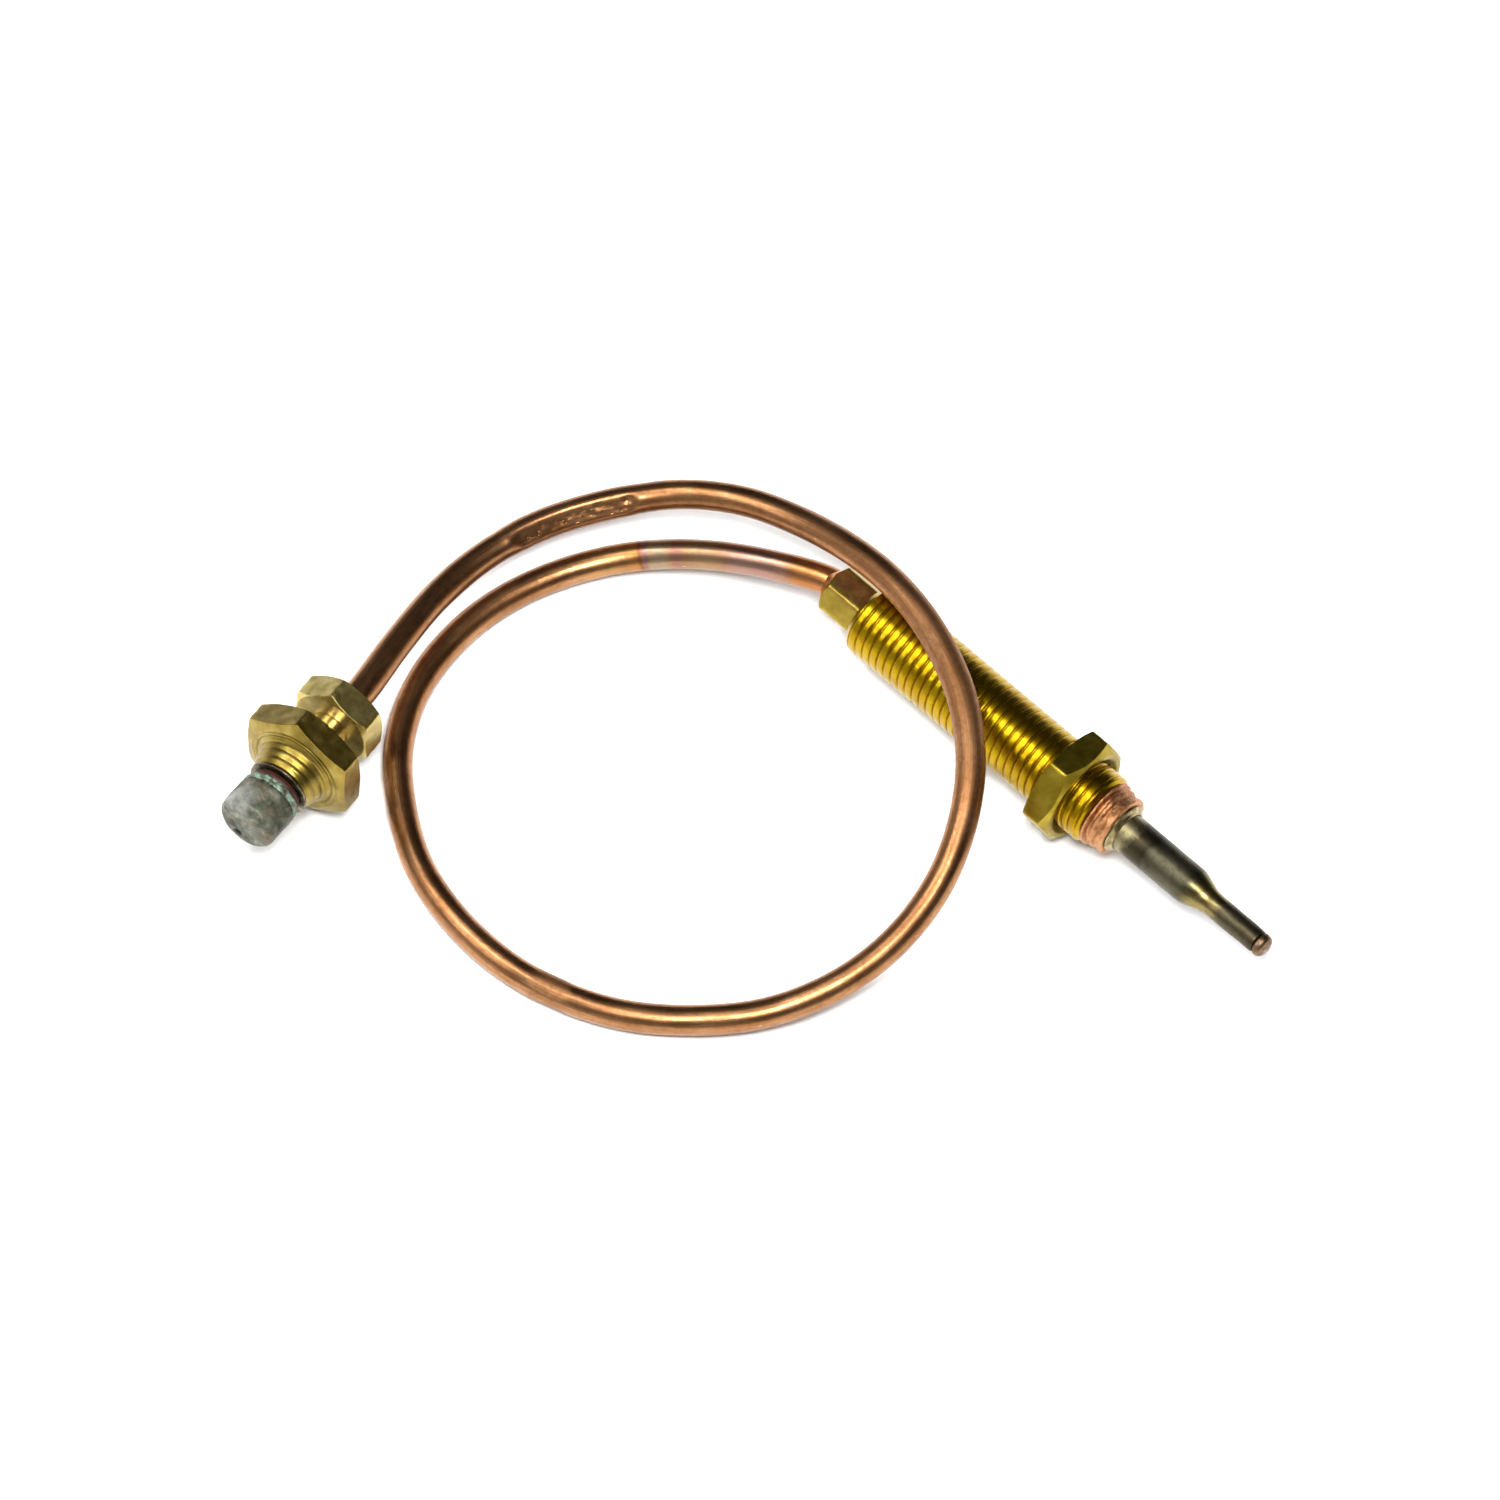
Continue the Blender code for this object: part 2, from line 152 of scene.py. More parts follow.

# The probe's tint and painted highlight, from where it leaves the collar, and its polished taper, along
# the hot end.
PROBE_TINT_AND_HIGHLIGHT_START = 36.0
PROBE_TINT_AND_HIGHLIGHT_LENGTH = 20.0
TAPER_START = 45.6
TAPER_END = 50.0

# Ridges on the connection nut's cone, and the pit in the solder: its height and sideways place on
# the end face.
NOSE_PITCH = 0.8
PIT = (-1.86, 0.88)


# ---------------------------------------------------------------- axes


class Axis:
    """A line through the part with two directions across it. Places along it are in millimetres."""

    def __init__(self, point, direction, zero_node):
        self.along = Vector(direction).normalized()
        self.side = self.along.cross(Vector((0.0, 0.0, 1.0))).normalized()
        self.up = self.side.cross(self.along).normalized()
        self.origin = Vector(point) / MM
        self.origin = self.origin + self.along * self.span(zero_node)[0]

    def span(self, node):
        """Where a CAD node starts and ends along this axis, and how far it reaches from it."""
        corners = np.array([vertex.co for vertex in frame["nodes"][node].data.vertices], float) / MM
        offsets = corners - np.array(self.origin)
        along = offsets @ np.array(self.along)
        across = np.linalg.norm(offsets - along[:, None] * np.array(self.along), axis=1)
        return float(along.min()), float(along.max()), float(across.max())

    def points(self, along, radius, angle):
        """Points in millimetres. angle 0 is up and grows towards the axis's side."""
        along, radius, angle = np.asarray(along), np.asarray(radius), np.asarray(angle)
        up, side = np.array(self.up), np.array(self.side)
        across = np.cos(angle)[..., None] * up + np.sin(angle)[..., None] * side
        middle = np.array(self.origin) + along[..., None] * np.array(self.along)
        return middle + radius[..., None] * across


def joint(name):
    """The record's joint of that name."""
    return next(each for each in frame["record"]["behaviour"]["joints"] if each["name"] == name)


HOT = Axis(joint("locknut_turn")["pos_m"], joint("locknut_turn")["axis"], "threaded_sleeve")
COLD = Axis(
    joint("connection_nut_turn")["pos_m"], joint("connection_nut_turn")["axis"], "terminal_body"
)


# ---------------------------------------------------------------- shapes


class Skin:
    """Sheets of quads that are put together into one closed, smooth mesh."""

    def __init__(self):
        self.points = []
        self.uvs = []
        self.faces = []
        self.kinds = []
        self.count = 0

    def sheet(self, points, uvs, kind=0):
        """points and uvs are grids of rows and columns."""
        rows, columns = points.shape[:2]
        index = np.arange(rows * columns).reshape(rows, columns) + self.count
        quads = np.stack([index[:-1, :-1], index[1:, :-1], index[1:, 1:], index[:-1, 1:]], axis=-1)
        quads = quads.reshape(-1, 4)
        self.points.append(points.reshape(-1, 3))
        self.uvs.append(uvs.reshape(-1, 2))
        self.faces.append(quads)
        self.kinds.append(np.full(len(quads), kind))
        self.count += rows * columns
        return self

    def made(self, name, materials):
        points = np.concatenate(self.points) * MM
        uvs = np.concatenate(self.uvs)
        faces = np.concatenate(self.faces)
        mesh = bpy.data.meshes.new(name)
        mesh.from_pydata(points.tolist(), [], faces.tolist())
        layer = mesh.uv_layers.new(name="mm")
        layer.data.foreach_set("uv", uvs[faces.reshape(-1)].astype(np.float32).reshape(-1))
        mesh.polygons.foreach_set("material_index", np.concatenate(self.kinds).astype(np.int32))
        for each in materials:
            mesh.materials.append(each)
        build = bmesh.new()
        build.from_mesh(mesh)
        bmesh.ops.remove_doubles(build, verts=build.verts, dist=2e-7)
        bmesh.ops.dissolve_degenerate(build, edges=build.edges, dist=1e-7)
        bmesh.ops.recalc_face_normals(build, faces=build.faces)
        build.to_mesh(mesh)
        build.free()
        mesh.shade_smooth()
        thing = bpy.data.objects.new(name, mesh)
        bpy.context.scene.collection.objects.link(thing)
        return thing


def fitted(thing, node, body):
    """Puts a finished piece in a CAD node's place."""
    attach(thing, body)
    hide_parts(node)
    return thing


EASE_STEPS = 3
SAME_PLACE = 1e-6


def eased_corner(before, here, after, size):
    """Points that round a corner over about size."""
    back, ahead = before - here, after - here
    first = here + back / np.linalg.norm(back) * min(size, 0.4 * np.linalg.norm(back))
    last = here + ahead / np.linalg.norm(ahead) * min(size, 0.4 * np.linalg.norm(ahead))
    for step in range(EASE_STEPS + 1):
        share = step / EASE_STEPS
        yield first * (1 - share) ** 2 + here * 2 * share * (1 - share) + last * share**2


def eased(outline, size, closed=True):
    """An outline with its corners rounded over. A point on the axis and the ends of an open outline
    stay as they are."""
    points = [np.array(point, float) for point in outline]
    out = []
    for number, here in enumerate(points):
        before, after = points[number - 1], points[(number + 1) % len(points)]
        nearest = min(np.linalg.norm(before - here), np.linalg.norm(after - here))
        is_end = not closed and number in (0, len(points) - 1)
        if is_end or here[1] < SAME_PLACE or nearest < SAME_PLACE:
            out.append(here)
        else:
            out.extend(eased_corner(before, here, after, size))
    return out


def filled(outline, step):
    """An outline with extra points, no more than step apart."""
    points = [np.array(point, float) for point in outline]
    out = []
    for here, there in zip(points, points[1:]):
        count = max(1, math.ceil(np.linalg.norm(there - here) / step))
        out.extend(here + (there - here) * share / count for share in range(count))
    out.append(points[-1])
    return np.array(out)


def revolved(axis, outline, sides=120, size=0.12, step=0.35, shape=None, closed=True):
    """The grid of a turned piece. shape changes its along and radius grids at each angle."""
    soft = eased(outline, size, closed)
    if closed:
        soft = [*soft, soft[0]]
    line = filled(soft, step)
    angle = np.linspace(-math.pi, math.pi, sides + 1)
    along = np.repeat(line[:, :1], sides + 1, axis=1)
    radius = np.repeat(line[:, 1:], sides + 1, axis=1)
    angles = np.repeat(angle[None, :], len(line), axis=0)
    if shape is not None:
        along, radius = shape(along, radius, angles)
        along[:, -1], radius[:, -1] = along[:, 0], radius[:, 0]
    reach = max(float(radius.max()), 0.5)
    uvs = np.stack([along, angles * reach], axis=-1)
    return axis.points(along, radius, angles), uvs


def turned(name, material, *surface, **options):
    """A piece that is one turned surface. surface and options are for revolved."""
    return Skin().sheet(*revolved(*surface, **options)).made(name, [material])


def rise(value, start, width):
    """0 up to start, then up to 1 over width."""
    return np.clip((value - start) / width, 0.0, 1.0)


def waves(seed, count, along, angle, low=0.15, high=1.2, turns=9):
    """Smooth irregular values of about -1 to 1 over a turned surface."""
    picker = np.random.default_rng(seed)
    total = np.zeros_like(along)
    for _ in range(count):
        lobes = int(picker.integers(0, turns))
        rate = picker.uniform(low, high)
        phase, start = picker.uniform(0, math.tau, 2)
        total = total + np.cos(lobes * angle + start) * np.cos(rate * along + phase)
    return total / math.sqrt(count)


def hex_reach(angle, flats, turn, ease=0.06):
    """How far a hexagon reaches at an angle, with slightly rounded corners."""
    part = np.mod(angle - turn + math.pi / 6, math.pi / 3) - math.pi / 6
    reach = flats / 2 / np.cos(part)
    corner = flats / math.sqrt(3.0) - ease
    stiff = 24.0
    return -np.log(np.exp(-stiff * (reach - corner)) + 1.0) / stiff + corner


def hexagonal(axis, rear, front, flats, turn, faces, chamfers, bore, seed, wear=0.02):
    """The grid of a chamfered hexagon. flats is its width across flats and turn its angle. faces and
    chamfers are the rear and front face radii and the lengths that the chamfers take at the corners.
    bore runs from the rear to the front. wear is how far its outside is uneven."""
    angle = np.linspace(-math.pi, math.pi, HEX_SIDES + 1)
    reach = hex_reach(angle, flats, turn)
    corner = flats / math.sqrt(3.0)
    rear_slope = chamfers[0] / max(corner - faces[0], 0.05)
    front_slope = chamfers[1] / max(corner - faces[1], 0.05)
    rows = []

    def add(along, radius):
        rows.append((np.broadcast_to(along, angle.shape), np.broadcast_to(radius, angle.shape)))

    for along, radius in filled(eased(bore, 0.08, closed=False), 0.3):
        add(along, radius)
    front_face = np.minimum(faces[1], reach - 0.02)
    for share in (0.3, 0.6, 0.85, 0.96):
        add(front, bore[-1][1] + (front_face - bore[-1][1]) * share)
    front_edge = front - front_slope * np.maximum(reach - faces[1], 0.0)
    for share in (0.0, 0.05, 0.3, 0.6, 0.85, 0.95):
        radius = front_face + (reach - front_face) * share
        add(front - front_slope * np.maximum(radius - faces[1], 0.0), radius)
    rear_face = np.minimum(faces[0], reach - 0.02)
    rear_edge = rear + rear_slope * np.maximum(reach - faces[0], 0.0)
    for share in (0.0, 0.02, 0.1, 0.25, 0.4, 0.55, 0.7, 0.85, 0.95, 0.99, 1.0):
        add(front_edge + (rear_edge - front_edge) * share, reach)
    for share in (0.95, 0.85, 0.6, 0.3, 0.05, 0.0):
        radius = rear_face + (reach - rear_face) * share
        add(rear + rear_slope * np.maximum(radius - faces[0], 0.0), radius)
    for share in (0.96, 0.85, 0.6, 0.3):
        add(rear, bore[0][1] + (rear_face - bore[0][1]) * share)
    add(bore[0][0], bore[0][1])
    along = np.array([row[0] for row in rows], float)
    radius = np.array([row[1] for row in rows], float)
    angles = np.repeat(angle[None, :], len(rows), axis=0)
    bumps = waves(seed, 14, along * 2.0, angles, 0.4, 3.0, 23)
    outer = rise(radius, min(faces), 0.5)
    radius = radius + wear * bumps * outer - 0.6 * wear * outer
    radius[:, -1] = radius[:, 0]
    uvs = np.stack([along, angles * corner], axis=-1)
    return axis.points(along, radius, angles), uvs


# rows of points across one pitch of the thread
THREAD_PHASES = np.array(
    [0.0, 0.03, 0.06, 0.10, 0.16, 0.23, 0.30, 0.355, 0.39, 0.43, 0.465, 0.5]
    + [0.535, 0.57, 0.61, 0.645, 0.70, 0.77, 0.84, 0.90, 0.94, 0.97]
)


def thread_height(phase):
    """The share of the thread's depth at a phase of its pitch, 1 on the crest and 0 at the root."""
    away = np.abs(np.mod(phase + 0.5, 1.0) - 0.5)
    flank = np.clip((0.49 - away) / (0.49 - HALF_CREST), 0.0, 1.0)
    soft = flank * flank * (3.0 - 2.0 * flank)
    seam = 0.045 * np.exp(-((away / 0.09) ** 2))
    return 0.5 * flank + 0.5 * soft - 0.10 * np.minimum(away / HALF_CREST, 1.0) ** 2 - seam


def threaded(axis, start, end, ends, bore, seed, sides=168):
    """The grids of a rod with a right-hand helix between start and end, and of its end faces and
    bore. ends are the lengths and end radii of its two chamfers: (rear length, rear radius, front
    length, front radius)."""
    rear_length, rear_radius, front_length, front_radius = ends
    turns = math.ceil((end - start) / PITCH) + 2
    step = (np.arange(-1, turns)[:, None] + THREAD_PHASES[None, :]).reshape(-1, 1)
    angle = np.linspace(-math.pi, math.pi, sides + 1)[None, :]
    along = start + (step + angle / math.tau) * PITCH + np.zeros_like(angle)
    angles = np.repeat(angle, len(step), axis=0)
    height = thread_height(step + np.zeros_like(angle))
    rough = waves(seed, 26, along, angles, 0.3, 9.0, 17)
    radius = CREST_R - THREAD_DEPTH * (1.0 - height) - CREST_WEAR * np.abs(rough) * height
    inside = np.clip(along, start, end)
    envelope = np.minimum(
        np.interp(inside - start, [0.0, rear_length], [rear_radius, CREST_R + 0.01]),
        np.interp(end - inside, [0.0, front_length], [front_radius, CREST_R + 0.01]),
    )
    radius = np.minimum(radius, envelope)
    yield axis.points(inside, radius, angles), np.stack([inside, angles * CREST_R], axis=-1)

    start, end = float(inside.min()), float(inside.max())
    first, last = radius[0][None, :], radius[-1][None, :]
    rows = []
    for share in (0.0, 0.1, 0.5, 0.9, 1.0):
        rows.append((np.full_like(angle, end), last + (bore - last) * share))
    for share in (0.0, 0.02, 0.5, 0.98, 1.0):
        rows.append((np.full_like(angle, end + (start - end) * share), np.full_like(angle, bore)))
    for share in (1.0, 0.9, 0.5, 0.1, 0.0):
        rows.append((np.full_like(angle, start), first + (bore - first) * share))
    cap_along = np.concatenate([row[0] for row in rows])
    cap_radius = np.concatenate([row[1] for row in rows])
    cap_angle = np.repeat(angle, len(cap_along), axis=0)
    uvs = np.stack([cap_along, cap_angle * CREST_R], axis=-1)
    yield axis.points(cap_along, cap_radius, cap_angle), uvs


# ---------------------------------------------------------------- materials


class Look:
    """A node material, put together from short calls. Vectors are in millimetres."""

    def __init__(self, name, metallic=1.0, specular=0.5):
        self.material = bpy.data.materials.new(name)
        self.material.use_nodes = True
        self.tree = self.material.node_tree
        self.shader = self.tree.nodes["Principled BSDF"]
        self.shader.inputs["Metallic"].default_value = metallic
        self.shader.inputs["Specular IOR Level"].default_value = specular
        coordinates = self.tree.nodes.new("ShaderNodeTexCoord")
        self.world = self.scaled(coordinates.outputs["Object"], (1000.0, 1000.0, 1000.0))
        flat = self.tree.nodes.new("ShaderNodeUVMap")
        flat.uv_map = "mm"
        self.flat = flat.outputs["UV"]
        split = self.tree.nodes.new("ShaderNodeSeparateXYZ")
        self.tree.links.new(self.flat, split.inputs[0])
        self.along, self.round = split.outputs[0], split.outputs[1]

    def put(self, socket, value):
        if isinstance(value, bpy.types.NodeSocket):
            self.tree.links.new(value, socket)
        elif hasattr(socket.default_value, "__len__"):
            value = tuple(value)
            size = len(socket.default_value)
            socket.default_value = value if len(value) == size else (*value, 1.0)[:size]
        else:
            socket.default_value = value

    def scaled(self, vector, factors):
        node = self.tree.nodes.new("ShaderNodeVectorMath")
        node.operation = "MULTIPLY"
        self.put(node.inputs[0], vector)
        node.inputs[1].default_value = factors
        return node.outputs[0]

    def noise(self, vector, scale, detail=3.0, roughness=0.55, distortion=0.0):
        node = self.tree.nodes.new("ShaderNodeTexNoise")
        self.put(node.inputs["Vector"], vector)
        node.inputs["Scale"].default_value = scale
        node.inputs["Detail"].default_value = detail
        node.inputs["Roughness"].default_value = roughness
        node.inputs["Distortion"].default_value = distortion
        return node.outputs[0]

    def cells(self, vector, scale):
        node = self.tree.nodes.new("ShaderNodeTexVoronoi")
        self.put(node.inputs["Vector"], vector)
        node.inputs["Scale"].default_value = scale
        return node.outputs["Distance"]

    def ramp(self, factor, stops):
        """stops are (place, grey or colour) pairs."""
        node = self.tree.nodes.new("ShaderNodeValToRGB")
        elements = node.color_ramp.elements
        while len(elements) < len(stops):
            elements.new(0.5)
        for element, (place, value) in zip(elements, stops):
            element.position = place
            element.color = (*value, 1.0) if hasattr(value, "__len__") else (value, value, value, 1.0)
        self.put(node.inputs[0], factor)
        return node.outputs[0]

    def vary(self, noise, low, high):
        """A number that goes from low in the dark places of a noise to high in its light ones."""
        return self.ramp(noise, [(0.3, low), (0.7, high)])

    def lines(self, along, across, detail, roughness=0.55):
        """Noise that is drawn out over the surface: its scales along the piece and round it."""
        return self.noise(self.scaled(self.flat, (along, across, 1.0)), 1.0, detail, roughness)

    def zone(self, value, start, end, soft):
        """1 between start and end of a value, 0 outside."""
        rise = self.remap(value, start - soft, start + soft, 0.0, 1.0)
        fall = self.remap(value, end - soft, end + soft, 1.0, 0.0)
        return self.math("MULTIPLY", rise, fall)

    def near(self, point, reach):
        """1 close to a point of the world, 0 from reach on."""
        node = self.tree.nodes.new("ShaderNodeVectorMath")
        node.operation = "DISTANCE"
        self.put(node.inputs[0], self.world)
        node.inputs[1].default_value = [float(number) for number in point]
        return self.remap(node.outputs["Value"], 0.35 * reach, reach, 1.0, 0.0)

    def remap(self, value, low, high, to_low, to_high):
        node = self.tree.nodes.new("ShaderNodeMapRange")
        node.interpolation_type = "SMOOTHSTEP"
        self.put(node.inputs["Value"], value)
        for name, number in zip(
            ("From Min", "From Max", "To Min", "To Max"), (low, high, to_low, to_high)
        ):
            node.inputs[name].default_value = number
        return node.outputs[0]

    def math(self, operation, first, second=0.0):
        node = self.tree.nodes.new("ShaderNodeMath")
        node.operation = operation
        self.put(node.inputs[0], first)
        self.put(node.inputs[1], second)
        return node.outputs[0]

    def mix(self, factor, first, second, blend="MIX"):
        node = self.tree.nodes.new("ShaderNodeMix")
        node.data_type = "RGBA"
        node.blend_type = blend
        sockets = [each for each in node.inputs if each.type == "RGBA"]
        self.put(node.inputs[0], factor)
        self.put(sockets[0], first)
        self.put(sockets[1], second)
        return [each for each in node.outputs if each.type == "RGBA"][0]

    def bump(self, height, distance, strength=1.0, under=None):
        node = self.tree.nodes.new("ShaderNodeBump")
        self.put(node.inputs["Height"], height)
        node.inputs["Distance"].default_value = distance * MM
        node.inputs["Strength"].default_value = strength
        if under is not None:
            self.put(node.inputs["Normal"], under)
        return node.outputs[0]

    def done(self, colour, roughness, normal=None, metallic=None):
        self.put(self.shader.inputs["Base Color"], colour)
        self.put(self.shader.inputs["Roughness"], roughness)
        if normal is not None:
            self.put(self.shader.inputs["Normal"], normal)
        if metallic is not None:
            self.put(self.shader.inputs["Metallic"], metallic)
        return self.material


def bright_brass():
    """The sleeve's yellow brass, in blotchy tones of tarnish with darker streaky specks."""
    look = Look("bright_brass")
    blotch = look.noise(look.world, 0.35, 4.0)
    colour = look.ramp(
        blotch, [(0.3, (0.30, 0.17, 0.003)), (0.55, (0.39, 0.25, 0.004)), (0.75, (0.34, 0.235, 0.006))]
    )
    speck = look.lines(1.6, 4.0, 4.0, 0.6)
    speck = look.ramp(speck, [(0.48, 0.0), (0.66, 1.0)])
    colour = look.mix(look.math("MULTIPLY", speck, 0.35), colour, (0.20, 0.11, 0.005))
    fine = look.lines(9.0, 1.2, 3.0)
    roughness = look.vary(fine, 0.28, 0.31)
    return look.done(colour, roughness, look.bump(fine, 0.0008))


def nut_brass(name, tint=(0.295, 0.215, 0.018), dark=(0.22, 0.148, 0.009), light=(0.38, 0.285, 0.035)):
    """Olive brass of machined bar: fine lines, handling marks and tarnish."""
    look = Look(name)
    blotch = look.noise(look.world, 0.55, 5.0, 0.6)
    colour = look.ramp(blotch, [(0.30, dark), (0.50, tint), (0.72, light)])
    speck = look.ramp(look.noise(look.world, 4.2, 4.0, 0.7), [(0.60, 0.0), (0.70, 1.0)])
    colour = look.mix(look.math("MULTIPLY", speck, 0.3), colour, (0.14, 0.10, 0.03))
    line = look.lines(0.7, 9.0, 3.0)
    roughness = look.vary(look.noise(look.world, 2.6, 4.0, 0.6), 0.33, 0.42)
    normal = look.bump(line, 0.012)
    dents = look.cells(look.world, 1.1)
    normal = look.bump(look.ramp(dents, [(0.0, 0.0), (0.16, 1.0)]), 0.02, 0.8, normal)
    return look.done(colour, roughness, normal)


def lead_copper():
    """Drawn copper tube, with brown oxide, bright scratches and a heat tint by the ferrule."""
    look = Look("lead_copper")
    drawn = look.lines(0.10, 3.2, 4.0, 0.6)
    cloud = look.noise(look.world, 0.28, 4.0, 0.6)
    colour = look.ramp(
        cloud, [(0.30, (0.29, 0.13, 0.048)), (0.52, (0.37, 0.18, 0.076)), (0.72, (0.44, 0.23, 0.11))]
    )
    streak = look.ramp(drawn, [(0.38, 0.1), (0.50, 1.0), (0.58, 0.0)])
    colour = look.mix(look.math("MULTIPLY", streak, 0.60), colour, (0.21, 0.092, 0.038))
    grain = look.noise(look.world, 1.8, 5.0, 0.65)
    colour = look.mix(look.ramp(grain, [(0.50, 0.0), (0.70, 0.45)]), colour, (0.15, 0.062, 0.026))
    # heat tint and browning by the ferrule: wide soft zones, then narrow bands with crisper edges, the
    # last band a painted highlight
    wander = look.math("SUBTRACT", look.noise(look.world, 0.9, 3.0), 0.5)
    place = look.math("ADD", look.along, look.math("MULTIPLY", wander, 2.2))
    edge = look.math("ADD", look.along, look.math("MULTIPLY", wander, 0.8))
    for value, bands in ((place, HEAT_ZONES), (edge, HEAT_AND_HIGHLIGHT_BANDS)):
        for start, end, soft, strength, tone in bands:
            share = look.math("MULTIPLY", look.zone(value, start, end, soft), strength)
            colour = look.mix(share, colour, tone)
    # short bright scratches
    scratch = look.cells(look.scaled(look.flat, (0.20, 0.9, 1.0)), 1.0)
    scratch = look.ramp(scratch, [(0.02, 0.7), (0.05, 0.0)])
    rare = look.ramp(look.noise(look.world, 0.35, 1.0), [(0.50, 0.0), (0.58, 1.0)])
    scratch = look.math("MULTIPLY", scratch, rare)
    colour = look.mix(scratch, colour, (0.95, 0.72, 0.55))
    patches = look.noise(look.world, 0.11, 3.0, 0.6)
    roughness = look.math(
        "ADD",
        look.ramp(grain, [(0.35, 0.0), (0.68, 0.07)]),
        look.ramp(patches, [(0.38, 0.28), (0.62, 0.34)]),
    )
    rubbed = look.math("ADD", look.zone(place, *RUBBED[0]), look.zone(place, *RUBBED[1]))
    roughness = look.math("ADD", roughness, look.math("MULTIPLY", rubbed, 0.20))
    normal = look.bump(drawn, 0.016)
    normal = look.bump(look.noise(look.world, 1.3, 4.0, 0.6), 0.022, 1.0, normal)
    # generic marks in one row along the land
    marks = look.cells(look.scaled(look.flat, (1.25, 1.9, 1.0)), 1.0)
    marks = look.ramp(marks, [(0.20, 1.0), (0.32, 0.0)])
    row = look.zone(look.round, -1.9, -0.9, 0.1)
    stamped = look.math("MULTIPLY", look.zone(look.along, LAND_START + 0.8, LAND_END - 0.6, 0.3), row)
    normal = look.bump(look.math("MULTIPLY", marks, stamped), -0.09, 1.0, normal)
    return look.done(colour, roughness, normal)


def pink_copper():
    """The rough copper-coloured collar and braze."""
    look = Look("pink_copper")
    cloud = look.noise(look.world, 1.1, 5.0, 0.65)
    colour = look.ramp(
        cloud, [(0.30, (0.22, 0.08, 0.026)), (0.50, (0.47, 0.22, 0.09)), (0.72, (0.60, 0.33, 0.16))]
    )
    roughness = look.vary(look.noise(look.world, 3.0, 3.0), 0.34, 0.55)
    normal = look.bump(look.noise(look.world, 3.4, 5.0, 0.7), 0.09)
    return look.done(colour, roughness, normal)


def clouded(name, cloud, stops, roughness, rough_noise, depth):
    """Metal in clouds of a few tones. cloud and rough_noise are a scale and a detail of noise, and
    roughness goes from the dark clouds to the light ones."""
    look = Look(name)
    tones = look.noise(look.world, *cloud)
    normal = look.bump(look.noise(look.world, *rough_noise), depth)
    return look.done(look.ramp(tones, stops), look.vary(tones, *roughness), normal)


def orange_braze():
    """Braze where the lead enters the ferrule."""
    stops = [(0.3, (0.42, 0.15, 0.04)), (0.55, (0.74, 0.36, 0.12)), (0.75, (0.86, 0.55, 0.25))]
    return clouded("orange_braze", (1.6, 4.0), stops, (0.40, 0.28), (3.0, 3.0), 0.05)


def straw_brass():
    """The thin pale rim in front of the collar."""
    stops = [(0.3, (0.16, 0.12, 0.045)), (0.6, (0.36, 0.29, 0.14)), (0.8, (0.50, 0.42, 0.23))]
    return clouded("straw_brass", (1.5, 4.0), stops, (0.42, 0.30), (3.0, 4.0), 0.05)


def burnt_metal():
    """The welded bead at the tip."""
    stops = [(0.3, (0.08, 0.045, 0.022)), (0.55, (0.20, 0.125, 0.07)), (0.75, (0.32, 0.25, 0.17))]
    return clouded("burnt_metal", (1.4, 5.0, 0.65), stops, (0.5, 0.34), (3.5, 4.0), 0.03)


def pale_metal():
    """The light washer, stained between its bright places."""
    stops = [(0.3, (0.055, 0.042, 0.022)), (0.52, (0.17, 0.145, 0.085)), (0.68, (0.40, 0.37, 0.28))]
    return clouded("pale_metal", (1.2, 4.0), stops, (0.45, 0.32), (3.0, 4.0), 0.03)


def inner_metal(name, low, high):
    """Clean metal of the pieces inside."""
    return clouded(name, (2.0, 4.0), [(0.3, low), (0.7, high)], (0.4, 0.28), (2.0, 4.0), 0.02)


def probe_metal():
    """The outer element: straw by the collar, then a dark band, grey-olive metal, a painted highlight
    in gold on the taper, and a browned tip.
    """
    look = Look("probe_metal")
    wander = look.noise(look.world, 0.55, 3.0)
    place = look.math("ADD", look.along, look.math("MULTIPLY", look.math("SUBTRACT", wander, 0.5), 3.4))
    share = look.math("DIVIDE", look.math("SUBTRACT", place, PROBE_TINT_AND_HIGHLIGHT_START), PROBE_TINT_AND_HIGHLIGHT_LENGTH)
    colour = look.ramp(
        share,
        [
            (0.00, (0.24, 0.20, 0.10)),
            (0.06, (0.27, 0.235, 0.125)),
            (0.11, (0.055, 0.045, 0.025)),
            (0.20, (0.030, 0.025, 0.014)),
            (0.27, (0.080, 0.074, 0.046)),
            (0.38, (0.098, 0.090, 0.056)),
            (0.48, (0.072, 0.064, 0.034)),
            # painted highlight: these lighter gold stops lie on the steepest part of the taper
            (0.56, (0.20, 0.155, 0.055)),
            (0.63, (0.24, 0.18, 0.065)),
            (0.72, (0.085, 0.072, 0.042)),
            (0.86, (0.075, 0.062, 0.036)),
            (0.97, (0.055, 0.036, 0.022)),
        ],
    )
    stain = look.ramp(look.noise(look.world, 1.7, 5.0, 0.65), [(0.50, 0.0), (0.68, 0.6)])
    colour = look.mix(stain, colour, (0.045, 0.036, 0.020))
    fine = look.noise(look.scaled(look.flat, (1.0, 5.0, 1.0)), 1.4, 4.0)
    polish = look.zone(look.along, TAPER_START, TAPER_END, 1.0)
    dull = look.vary(fine, 0.40, 0.50)
    bright = look.vary(fine, 0.28, 0.36)
    roughness = look.mix(polish, dull, bright)
    normal = look.bump(fine, 0.004)
    normal = look.bump(look.noise(look.world, 0.8, 2.0), 0.012, 1.0, normal)
    return look.done(colour, roughness, normal)


def red_fibre():
    """Dark red vulcanised fibre, with its strands round the washer."""
    look = Look("red_fibre", metallic=0.0)
    strand = look.lines(6.0, 0.8, 4.0)
    colour = look.ramp(
        strand,
        [(0.3, (0.012, 0.003, 0.0015)), (0.6, (0.042, 0.010, 0.004)), (0.8, (0.11, 0.032, 0.014))],
    )
    normal = look.bump(strand, 0.05)
    return look.done(colour, look.vary(strand, 0.6, 0.42), normal)


